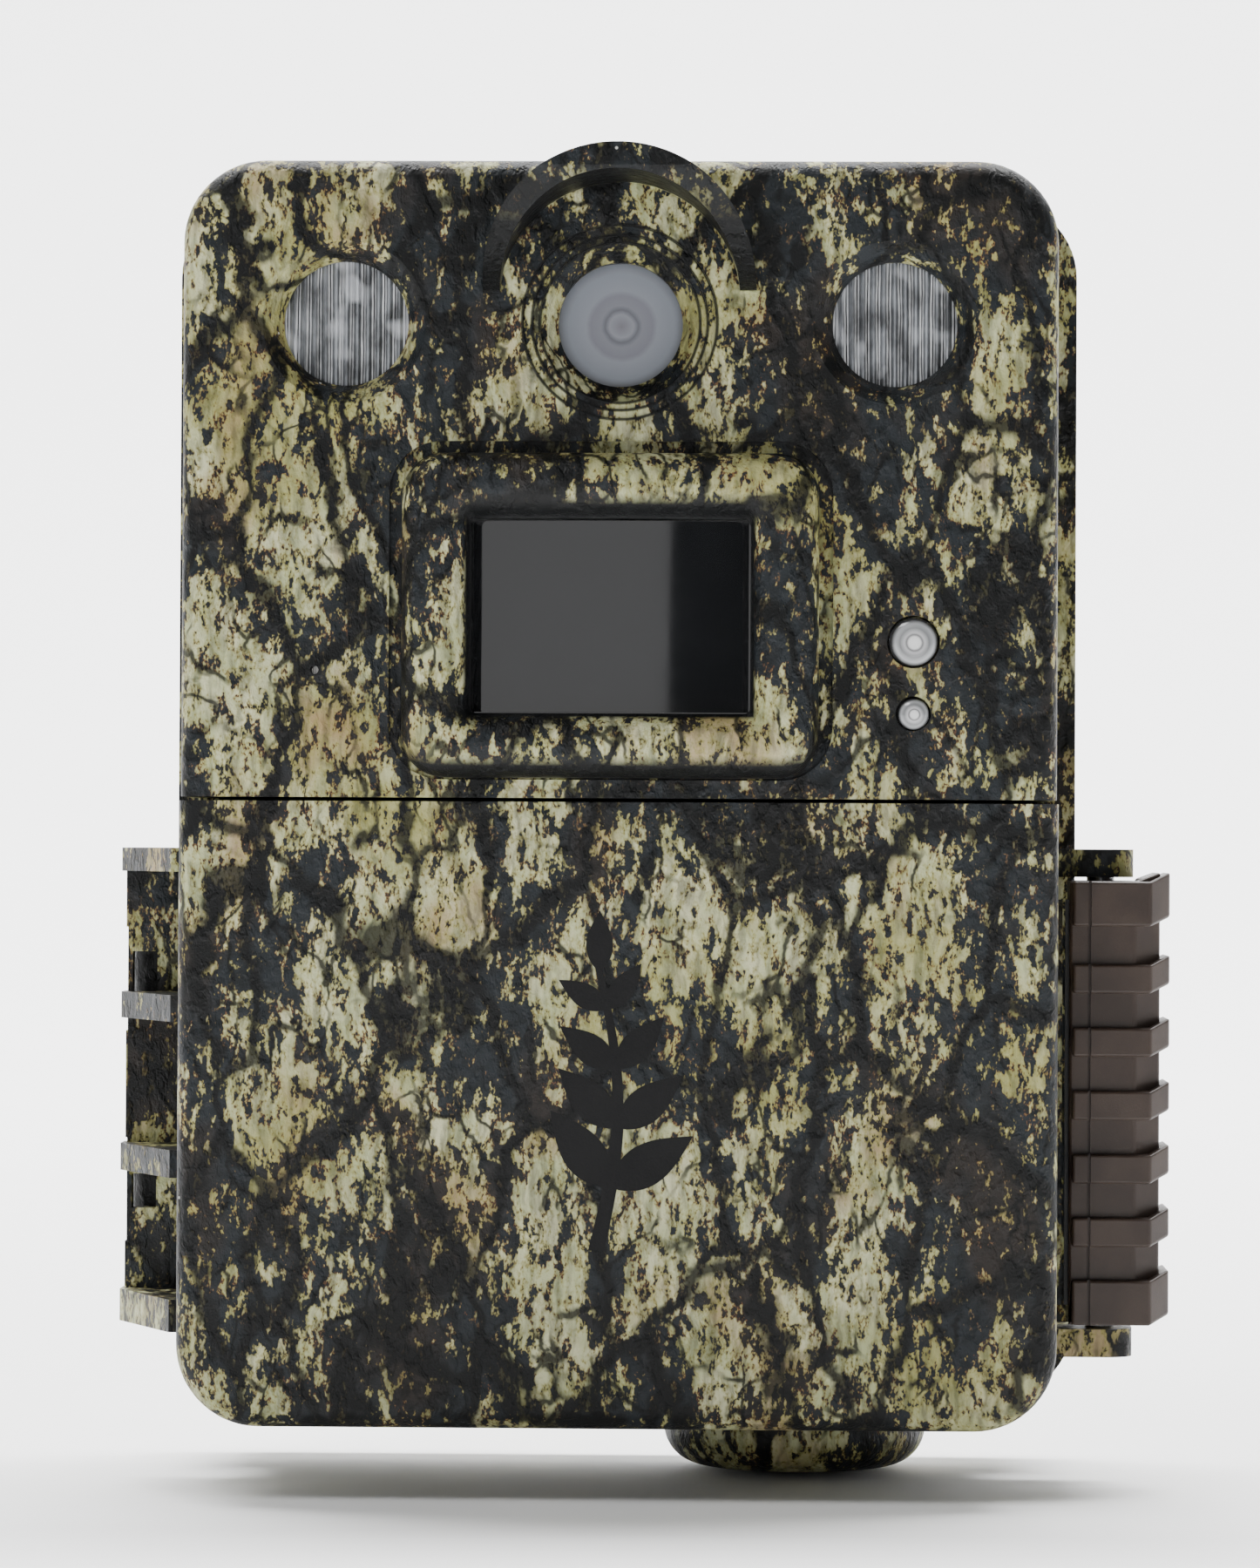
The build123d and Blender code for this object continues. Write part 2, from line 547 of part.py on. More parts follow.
FLUTES = 12
FLUTE_PITCH = 2 * LENS_R / FLUTES
for name, side in (("ir_window_left", -1), ("ir_window_right", 1)):
    with BuildPart() as ir_window:
        with BuildSketch(front_plane(FRONT + 4.8)):
            with Locations((side * IR_X, LENS_Z)):
                Circle(WINDOW_R)
        extrude(amount=1.8)
        # vertical flutes, cut as shallow round grooves in the front face
        with BuildSketch(Plane.XY.offset(LENS_Z - WINDOW_R)):
            for flute in range(FLUTES):
                flute_x = side * IR_X + (flute + 0.5 - FLUTES / 2) * FLUTE_PITCH
                with Locations((flute_x, FRONT + 2.75)):
                    Circle(0.5)
        extrude(amount=2 * WINDOW_R, mode=Mode.SUBTRACT)
    save(name, ir_window)

with BuildPart() as pir_window:
    with BuildSketch(front_plane(FRONT + 2.9)):
        with Locations((PIR_X, PIR_Z)):
            Rectangle(PIR_W + 2.2, PIR_H + 2.2)
    extrude(amount=1.6)
    # gently bowed clear area
    with BuildSketch(Plane.XY.offset(PIR_Z - PIR_H / 2 + 0.2)):
        with BuildLine():
            bow_half = PIR_W / 2 - 0.2
            bow_left, bow_right = PIR_X - bow_half, PIR_X + bow_half
            ThreePointArc((bow_left, FRONT + 1.0), (PIR_X, FRONT + 0.1), (bow_right, FRONT + 1.0))
            Polyline((bow_right, FRONT + 1.0), (bow_right, FRONT + 1.4), (bow_left, FRONT + 1.4),
                     (bow_left, FRONT + 1.0))
        make_face()
    extrude(amount=PIR_H - 0.4)
save("pir_window", pir_window)

for name, spot, radius in (("status_lens", STATUS_AT, STATUS_R),
                           ("light_sensor_lens", LIGHT_AT, LIGHT_R)):
    with BuildPart() as small_lens:
        with BuildSketch(front_plane(FRONT_INNER + 1.2)):
            with Locations(spot):
                Circle(radius + 0.8)
        extrude(amount=1.2)
        with BuildSketch(front_plane(FRONT_INNER)):
            with Locations(spot):
                Circle(radius - 0.05)
        extrude(amount=WALL + 0.3)
        fillet(small_lens.faces().sort_by(Axis.Y)[0].edges(), 1.2)
    save(name, small_lens)

# ---------------------------------------------------------------- main board and camera module
with BuildPart() as main_board:
    with BuildSketch(front_plane(BOARD_Y + BOARD_T)):
        board_mid, board_h = span(SEAM + 4.2, TOP - 5.0)
        with Locations((0, board_mid)):
            Rectangle(70.0, board_h)
    extrude(amount=BOARD_T)
save("main_board", main_board)

with BuildPart() as main_chips:
    with BuildSketch(front_plane(BOARD_Y + BOARD_T + 1.4)):
        with Locations((-18.0, 20.0)):
            Rectangle(14.0, 14.0)
        with Locations((10.0, 22.0)):
            Rectangle(12.0, 8.0)
        with Locations((14.0, 36.0)):
            Rectangle(9.0, 6.0)
    extrude(amount=1.4)
save("main_chips", main_chips)

SENSOR_Y = BOARD_Y - 1.2
with BuildPart() as sensor_board:
    with BuildSketch(front_plane(BOARD_Y)):
        with Locations((0, LENS_Z)):
            Rectangle(22.0, 20.0)
    extrude(amount=1.2)
save("sensor_board", sensor_board)

with BuildPart() as image_sensor:
    with BuildSketch(front_plane(SENSOR_Y)):
        with Locations((0, LENS_Z)):
            Rectangle(7.0, 6.0)
    extrude(amount=1.0)
save("image_sensor", image_sensor)

MOUNT_FRONT = SENSOR_Y - 6.0
FILTER_Y = SENSOR_Y - 3.0
with BuildPart() as lens_mount:
    with BuildSketch(front_plane(SENSOR_Y)):
        with Locations((0, LENS_Z)):
            Rectangle(20.0, 16.0)
    extrude(amount=6.0)
    with BuildSketch(front_plane(SENSOR_Y)):
        with Locations((0, LENS_Z)):
            Rectangle(10.0, 9.0)
    extrude(amount=2.0, mode=Mode.SUBTRACT)
    with BuildSketch(front_plane(SENSOR_Y)):
        with Locations((0, LENS_Z)):
            Circle(3.6)
    extrude(amount=6.0, mode=Mode.SUBTRACT)
    # guide slot for the filter slide
    with BuildSketch(Plane.YZ):
        with Locations((FILTER_Y, LENS_Z)):
            Rectangle(1.4, 10.0)
    extrude(amount=11.0, both=True, mode=Mode.SUBTRACT)
save("lens_mount", lens_mount)

with BuildPart() as ir_cut_filter:
    with BuildSketch(front_plane(FILTER_Y + 0.4)):
        with Locations((-3.0, LENS_Z)):
            Rectangle(16.0, 9.2)
    extrude(amount=0.8)
save("ir_cut_filter", ir_cut_filter)

BARREL_FRONT = FRONT + 6.2
with BuildPart() as lens_barrel:
    with BuildSketch(front_plane(MOUNT_FRONT)):
        with Locations((0, LENS_Z)):
            Circle(6.2)
    extrude(amount=MOUNT_FRONT - BARREL_FRONT)
    with BuildSketch(front_plane(MOUNT_FRONT)):
        with Locations((0, LENS_Z)):
            Circle(3.4)
    extrude(amount=MOUNT_FRONT - BARREL_FRONT, mode=Mode.SUBTRACT)
    with BuildSketch(front_plane(BARREL_FRONT + 2.4)):
        with Locations((0, LENS_Z)):
            Circle(4.2)
    extrude(amount=2.4, mode=Mode.SUBTRACT)
    chamfer(lens_barrel.faces().sort_by(Axis.Y)[0].outer_wire().edges(), 0.6)
save("lens_barrel", lens_barrel)

with BuildPart() as front_lens:
    with BuildSketch(Plane.YZ):
        with BuildLine():
            lens_seat = BARREL_FRONT + 2.4
            Polyline((lens_seat - 1.0, LENS_Z + 4.1), (lens_seat, LENS_Z + 4.1), (lens_seat, LENS_Z),
                     (lens_seat - 2.2, LENS_Z))
            ThreePointArc((lens_seat - 2.2, LENS_Z), (lens_seat - 1.9, LENS_Z + 2.1),
                          (lens_seat - 1.0, LENS_Z + 4.1))
        make_face()
    revolve(axis=Axis((0, 0, LENS_Z), (0, 1, 0)))
save("front_lens", front_lens)

# ---------------------------------------------------------------- infrared lamps
IR_BOARD_FRONT = FRONT_INNER + 7.5
for name, side in (("ir_board_left", -1), ("ir_board_right", 1)):
    with BuildPart() as ir_board:
        with BuildSketch(front_plane(IR_BOARD_FRONT + 1.2)):
            with Locations((side * IR_X, LENS_Z)):
                Rectangle(16.2, 16.2)
        extrude(amount=1.2)
    save(name, ir_board)

with BuildPart() as ir_reflectors:
    for side in (-1, 1):
        with BuildSketch(Plane.YZ.offset(side * IR_X)):
            with BuildLine():
                Polyline((FRONT + 5.0, LENS_Z + 6.4), (FRONT + 5.0, LENS_Z + 7.2),
                         (FRONT + 6.0, LENS_Z + 7.2), (IR_BOARD_FRONT, LENS_Z + 4.6),
                         (IR_BOARD_FRONT, LENS_Z + 3.8), close=True)
            make_face()
        revolve(axis=Axis((side * IR_X, 0, LENS_Z), (0, 1, 0)))
save("ir_reflectors", ir_reflectors)

with BuildPart() as ir_leds:
    for side in (-1, 1):
        for dx in (-1.3, 1.3):
            for dz in (-1.3, 1.3):
                with BuildSketch(front_plane(IR_BOARD_FRONT)):
                    with Locations((side * IR_X + dx, LENS_Z + dz)):
                        Circle(1.1)
                extrude(amount=1.8)
    fillet(ir_leds.faces().group_by(Axis.Y)[0].edges(), 0.6)
save("ir_leds", ir_leds)

# ---------------------------------------------------------------- motion sensor, indicator and microphone
PIR_BOARD_Y = FRONT + 13.0
with BuildPart() as pir_board:
    with BuildSketch(front_plane(PIR_BOARD_Y + 1.2)):
        with Locations((PIR_X, PIR_Z)):
            Rectangle(20.0, 14.0)
    extrude(amount=1.2)
    # header that stands it off the main board
    with BuildSketch(front_plane(BOARD_Y)):
        with Locations((PIR_X, PIR_Z - 4.5)):
            Rectangle(12.0, 3.0)
    extrude(amount=BOARD_Y - PIR_BOARD_Y - 1.2)
save("pir_board", pir_board)

with BuildPart() as pir_sensor:
    with BuildSketch(front_plane(PIR_BOARD_Y)):
        with Locations((PIR_X, PIR_Z)):
            Circle(4.6)
    extrude(amount=0.6)
    with BuildSketch(front_plane(PIR_BOARD_Y - 0.6)):
        with Locations((PIR_X, PIR_Z)):
            Circle(4.1)
    extrude(amount=3.6)
    fillet(pir_sensor.faces().sort_by(Axis.Y)[0].edges(), 0.5)
save("pir_sensor", pir_sensor)

INDICATOR_Y = FRONT + 10.0
with BuildPart() as indicator_board:
    with BuildSketch(front_plane(INDICATOR_Y + 1.2)):
        with Locations((STATUS_AT[0], (STATUS_AT[1] + LIGHT_AT[1]) / 2)):
            Rectangle(8.0, 16.0)
    extrude(amount=1.2)
    with BuildSketch(front_plane(BOARD_Y)):
        with Locations((STATUS_AT[0], STATUS_AT[1] + 2), (LIGHT_AT[0], LIGHT_AT[1] - 2)):
            Rectangle(3.0, 2.0)
    extrude(amount=BOARD_Y - INDICATOR_Y - 1.2)
save("indicator_board", indicator_board)

for name, spot, radius in (("status_led", STATUS_AT, 1.5), ("light_sensor", LIGHT_AT, 1.2)):
    with BuildPart() as emitter:
        with BuildSketch(front_plane(INDICATOR_Y)):
            with Locations(spot):
                Circle(radius)
        extrude(amount=4.6)
        fillet(emitter.faces().sort_by(Axis.Y)[0].edges(), 0.8)
    save(name, emitter)

with BuildPart() as microphone:
    with BuildSketch(front_plane(FRONT_INNER + 2.2)):
        with Locations(MIC_AT):
            Circle(2.0)
    extrude(amount=2.2)
save("microphone", microphone)

# ---------------------------------------------------------------- control panel behind the door
panel_z_mid, panel_h = span(BOTTOM + WALL + 0.3, SEAM - WALL - 0.3)
with BuildPart() as inner_panel:
    with BuildSketch(front_plane(PANEL_Y + PANEL_T)) as panel_outline:
        with Locations((PANEL_MID, panel_z_mid)):
            Rectangle(PANEL_RIGHT - PANEL_LEFT, panel_h)
        fillet(panel_outline.vertices().group_by(Axis.X)[-1], BAY_CORNER_R - 0.2)
        with Locations(LCD_AT):
            Rectangle(LCD_W, LCD_H, mode=Mode.SUBTRACT)
        with Locations(*BUTTONS.values()):
            Circle(BUTTON_R + 0.3, mode=Mode.SUBTRACT)
        with Locations(SWITCH_AT):
            Rectangle(8.0, 3.0, mode=Mode.SUBTRACT)
        with Locations(CARD_AT):
            Rectangle(CARD_W + 1.2, CARD_T + 1.2, mode=Mode.SUBTRACT)
        with Locations(*PANEL_SCREW_SPOTS):
            Circle(1.25, mode=Mode.SUBTRACT)
    extrude(amount=PANEL_T)
save("inner_panel", inner_panel)

with BuildPart() as lcd_window:
    with BuildSketch(front_plane(PANEL_Y + PANEL_T)):
        with Locations(LCD_AT):
            Rectangle(LCD_W - 0.2, LCD_H - 0.2)
    extrude(amount=1.3)
save("lcd_window", lcd_window)

with BuildPart() as lcd_module:
    with BuildSketch(front_plane(PANEL_Y + PANEL_T + 2.2)):
        with Locations(LCD_AT):
            Rectangle(LCD_W + 1.6, LCD_H + 1.2)
    extrude(amount=2.2)
save("lcd_module", lcd_module)

CONTROL_Y = PANEL_Y + 6.5
with BuildPart() as control_board:
    with BuildSketch(front_plane(CONTROL_Y + BOARD_T)):
        control_mid, control_h = span(BOTTOM + 13.0, SEAM - 4.0)
        with Locations((PANEL_MID, control_mid)):
            Rectangle(35.0, control_h)
        with Locations(*PANEL_SCREW_SPOTS):
            Circle(2.6, mode=Mode.SUBTRACT)
    extrude(amount=BOARD_T)
save("control_board", control_board)

with BuildPart() as tact_switches:
    with BuildSketch(front_plane(CONTROL_Y)):
        with Locations(*BUTTONS.values()):
            Rectangle(4.6, 4.6)
    extrude(amount=1.6)
    with BuildSketch(front_plane(CONTROL_Y - 1.6)):
        with Locations(*BUTTONS.values()):
            Circle(1.2)
    extrude(amount=0.6)
save("tact_switches", tact_switches)

for name, spot in BUTTONS.items():
    with BuildPart() as button:
        with BuildSketch(front_plane(PANEL_Y + PANEL_T + 0.4 + 0.9)):
            with Locations(spot):
                Circle(BUTTON_R + 0.7)
        extrude(amount=0.9)
        with BuildSketch(front_plane(PANEL_Y + PANEL_T + 0.4)):
            with Locations(spot):
                Circle(BUTTON_R)
        extrude(amount=PANEL_T + 0.4 + 1.6)
        fillet(button.faces().sort_by(Axis.Y)[0].edges(), 0.6)
        with BuildSketch(front_plane(PANEL_Y + PANEL_T + 1.3)):
            with Locations(spot):
                Circle(1.4)
        extrude(amount=-0.8)
    save(name, button)

with BuildPart() as switch_body:
    with BuildSketch(front_plane(CONTROL_Y)):
        with Locations(SWITCH_AT):
            Rectangle(10.0, 5.6)
    extrude(amount=2.2)
save("switch_body", switch_body)

with BuildPart() as power_switch:
    with BuildSketch(front_plane(CONTROL_Y - 2.4)):
        with Locations((SWITCH_AT[0] - 1.5, SWITCH_AT[1])):
            Rectangle(4.0, 2.4)
    extrude(amount=CONTROL_Y - 2.4 - PANEL_Y + 1.4)
    # finger ridges
    with BuildSketch(front_plane(PANEL_Y - 1.0)):
        with Locations(*[(SWITCH_AT[0] - 1.5 + ridge, SWITCH_AT[1]) for ridge in (-1.0, 1.0)]):
            Rectangle(0.6, 2.4)
    extrude(amount=0.9, mode=Mode.SUBTRACT)
save("power_switch", power_switch)

SOCKET_FRONT = PANEL_Y + PANEL_T + 0.2
with BuildPart() as sd_socket:
    with BuildSketch(front_plane(-WALL - 0.1)):
        with Locations(CARD_AT):
            Rectangle(CARD_W + 3.0, CARD_T + 2.4)
    extrude(amount=-WALL - 0.1 - SOCKET_FRONT)
    with BuildSketch(front_plane(-WALL - 0.5)):
        with Locations(CARD_AT):
            Rectangle(CARD_W + 0.6, CARD_T + 0.6)
    extrude(amount=-WALL - 0.5 - SOCKET_FRONT, mode=Mode.SUBTRACT)
save("sd_socket", sd_socket)

CARD_BACK = -WALL - 0.9
with BuildPart() as sd_card:
    with BuildSketch(Plane.XY.offset(CARD_AT[1] - CARD_T / 2)) as card_outline:
        with Locations((CARD_AT[0], CARD_BACK - CARD_L / 2)):
            Rectangle(CARD_W, CARD_L)
        chamfer(card_outline.vertices().group_by(Axis.Y)[-1].sort_by(Axis.X)[-1], 3.5)
    extrude(amount=CARD_T)
save("sd_card", sd_card)

# ---------------------------------------------------------------- flex cable between the two boards
with BuildPart() as flex_cable:
    with BuildSketch(Plane.YZ.offset(21.0)) as flex_run:
        with BuildLine():
            Polyline((BOARD_Y + BOARD_T, -3.6), (-22.0, -3.6), (-22.0, SEAM - 7.6),
                     (CONTROL_Y, SEAM - 7.6), (CONTROL_Y, SEAM - 7.9), (-22.3, SEAM - 7.9),
                     (-22.3, -3.9), (BOARD_Y + BOARD_T, -3.9), close=True)
        make_face()
    extrude(amount=10.0)
save("flex_cable", flex_cable)

# ---------------------------------------------------------------- batteries
TRAY_LOW = BOTTOM + WALL + 0.4
TRAY_HIGH = SEAM - WALL - 0.4
TRAY_BACK = -WALL - 0.3
TRAY_WALL = 1.2
TRAY_CORNER_R = 5.0
TRAY_FRONT = TRAY_BACK - TRAY_WALL - 2 * CELL_PITCH - 0.4
tray_x_mid, tray_w = span(TRAY_LEFT, TRAY_RIGHT)
tray_z_mid, tray_h = span(TRAY_LOW, TRAY_HIGH)
cell_z_mid = tray_z_mid - 0.6

with BuildPart() as battery_tray:
    with BuildSketch(front_plane(TRAY_BACK)):
        with Locations((tray_x_mid, tray_z_mid)):
            RectangleRounded(tray_w, tray_h, TRAY_CORNER_R)
    extrude(amount=TRAY_BACK - TRAY_FRONT)
    with BuildSketch(front_plane(TRAY_BACK - TRAY_WALL)):
        with Locations((tray_x_mid, tray_z_mid)):
            RectangleRounded(tray_w - 2 * TRAY_WALL, tray_h - 2 * TRAY_WALL, TRAY_CORNER_R - TRAY_WALL)
    extrude(amount=TRAY_BACK - TRAY_FRONT, mode=Mode.SUBTRACT)
save("battery_tray", battery_tray)

CELL_SPOTS = [
    (tray_x_mid + column * CELL_PITCH, TRAY_BACK - TRAY_WALL - CELL_PITCH * (row + 0.5) - 0.1)
    for row in range(2) for column in (-1, 0, 1)
]
with BuildPart() as aa_cells:
    for number, spot in enumerate(CELL_SPOTS):
        tip_up = 1 if number % 2 == 0 else -1
        with BuildSketch(Plane.XY.offset(cell_z_mid - tip_up * CELL_L / 2)):
            with Locations(spot):
                Circle(CELL_R)
        extrude(amount=tip_up * (CELL_L - 1.0))
        with BuildSketch(Plane.XY.offset(cell_z_mid + tip_up * (CELL_L / 2 - 1.0))):
            with Locations(spot):
                Circle(2.7)
        extrude(amount=tip_up * 1.0)
save("aa_cells", aa_cells)

contact_high = TRAY_HIGH - TRAY_WALL
contact_low = TRAY_LOW + TRAY_WALL
with BuildPart() as battery_contacts:
    for spot in CELL_SPOTS:
        for plate_z in (contact_low, contact_high - 0.4):
            with BuildSketch(Plane.XY.offset(plate_z)):
                with Locations(spot):
                    Rectangle(7.2, 7.2)
            extrude(amount=0.4)
        # bowed leaf spring between plate and cell
        with BuildSketch(Plane.XZ.offset(-spot[1] - 3.0)):
            with BuildLine():
                spring_top = contact_high - 0.4
                cell_top = cell_z_mid + CELL_L / 2
                ThreePointArc((spot[0] - 4.0, spring_top), (spot[0], cell_top + 0.05),
                              (spot[0] + 4.0, spring_top))
                ThreePointArc((spot[0] + 3.4, spring_top), (spot[0], cell_top + 0.45),
                              (spot[0] - 3.4, spring_top))
                Line((spot[0] - 3.4, spring_top), (spot[0] - 4.0, spring_top))
                Line((spot[0] + 3.4, spring_top), (spot[0] + 4.0, spring_top))
            make_face()
        extrude(amount=6.0)
save("battery_contacts", battery_contacts)

# ---------------------------------------------------------------- power jack and its rubber plug
JACK_LOW = BOTTOM - BOSS_DROP + 2.3
with BuildPart() as dc_jack:
    with BuildSketch(Plane.XY.offset(JACK_LOW)):
        with Locations(BOSS_AT):
            Circle(4.2)
    extrude(amount=9.4)
    with BuildSketch(Plane.XY.offset(JACK_LOW)):
        with Locations(BOSS_AT):
            Circle(2.9)
    extrude(amount=7.0, mode=Mode.SUBTRACT)
    with BuildSketch(Plane.XY.offset(JACK_LOW + 5.6)):
        with Locations(BOSS_AT):
            Circle(1.0)
    extrude(amount=1.4)
save("dc_jack", dc_jack)

with BuildPart() as dc_plug:
    with BuildSketch(Plane.XY.offset(BOTTOM - BOSS_DROP)):
        with Locations(BOSS_AT):
            Circle(5.3)
    extrude(amount=2.0)
    with BuildSketch(Plane.XY.offset(BOTTOM - BOSS_DROP)):
        with Locations(BOSS_AT):
            Circle(2.6)
    extrude(amount=6.4)
    with BuildSketch(Plane.XY.offset(BOTTOM - BOSS_DROP)):
        with Locations(BOSS_AT):
            Rectangle(5.0, 3.4)
    extrude(amount=-0.8)
save("dc_plug", dc_plug)

# ---------------------------------------------------------------- fixings
with BuildPart() as tripod_insert:
    with BuildSketch(front_plane(0)):
        Circle(4.5)
        Circle(2.55, mode=Mode.SUBTRACT)
    extrude(amount=8.0)
save("tripod_insert", tripod_insert)

with BuildPart() as case_screws:
    for spot in SCREW_SPOTS:
        with BuildSketch(front_plane(-16.0)):
            with Locations(spot):
                Circle(1.25)
        extrude(amount=22.0)
        with BuildSketch(front_plane(-14.0)):
            with Locations(spot):
                Circle(2.5)
                Rectangle(2.6, 0.6, mode=Mode.SUBTRACT)
                Rectangle(0.6, 2.6, mode=Mode.SUBTRACT)
        extrude(amount=1.0)
        with BuildSketch(front_plane(-15.0)):
            with Locations(spot):
                Circle(2.5)
        extrude(amount=1.0)
save("case_screws", case_screws)

with BuildPart() as panel_screws:
    for spot in PANEL_SCREW_SPOTS:
        with BuildSketch(front_plane(PANEL_Y)):
            with Locations(spot):
                Circle(2.0)
        extrude(amount=0.6)
        with BuildSketch(front_plane(PANEL_Y - 0.6)):
            with Locations(spot):
                Circle(2.0)
                Rectangle(2.2, 0.5, mode=Mode.SUBTRACT)
                Rectangle(0.5, 2.2, mode=Mode.SUBTRACT)
        extrude(amount=0.6)
        with BuildSketch(front_plane(PANEL_Y)):
            with Locations(spot):
                Circle(1.0)
        extrude(amount=-7.0)
save("panel_screws", panel_screws)
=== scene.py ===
# %% [markdown]
# A trail camera lives strapped to a tree, so its moulded shell is printed all over with a
# picture of bark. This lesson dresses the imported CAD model: the sizes, joints and places all
# come from the frame, and Blender adds the finishes and a few fine pieces.

# %% Load the frame
import json
import math
import bmesh
import bpy
from mathutils import Matrix, Vector


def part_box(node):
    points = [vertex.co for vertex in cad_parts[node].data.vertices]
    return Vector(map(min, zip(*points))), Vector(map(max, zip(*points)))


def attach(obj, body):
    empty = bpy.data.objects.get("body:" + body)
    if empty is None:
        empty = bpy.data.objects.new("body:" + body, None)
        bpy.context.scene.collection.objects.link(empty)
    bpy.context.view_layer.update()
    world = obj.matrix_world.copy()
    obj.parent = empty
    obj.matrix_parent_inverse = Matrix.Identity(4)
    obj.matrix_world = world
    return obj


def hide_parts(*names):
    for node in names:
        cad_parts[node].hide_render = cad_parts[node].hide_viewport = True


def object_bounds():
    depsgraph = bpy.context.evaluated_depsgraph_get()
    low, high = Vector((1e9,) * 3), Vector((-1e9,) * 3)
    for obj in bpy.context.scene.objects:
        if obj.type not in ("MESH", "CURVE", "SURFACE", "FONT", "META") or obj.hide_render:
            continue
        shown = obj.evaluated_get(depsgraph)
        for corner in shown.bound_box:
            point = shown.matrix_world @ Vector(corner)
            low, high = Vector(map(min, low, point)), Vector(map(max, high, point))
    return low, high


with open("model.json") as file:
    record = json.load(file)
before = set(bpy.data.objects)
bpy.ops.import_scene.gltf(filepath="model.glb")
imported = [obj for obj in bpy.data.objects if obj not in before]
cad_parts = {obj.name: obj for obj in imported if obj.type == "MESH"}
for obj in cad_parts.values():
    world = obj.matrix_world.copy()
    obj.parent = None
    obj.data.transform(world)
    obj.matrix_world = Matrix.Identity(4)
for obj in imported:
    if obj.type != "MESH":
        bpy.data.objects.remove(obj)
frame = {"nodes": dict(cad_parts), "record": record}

cad_box = [list(corner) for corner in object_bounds()]
MM = 0.001
print("CAD box in mm:", [[round(value / MM, 1) for value in corner] for corner in cad_box])

# %% [markdown]
# Every finish below is built from the same few moves: take the object's own coordinates,
# stretch and bend them, read a noise or a cell pattern there, and turn the result into colour
# with a ramp. A small helper class keeps those moves short, and it measures in millimetres,
# so a number such as 0.4 is a real grain size.


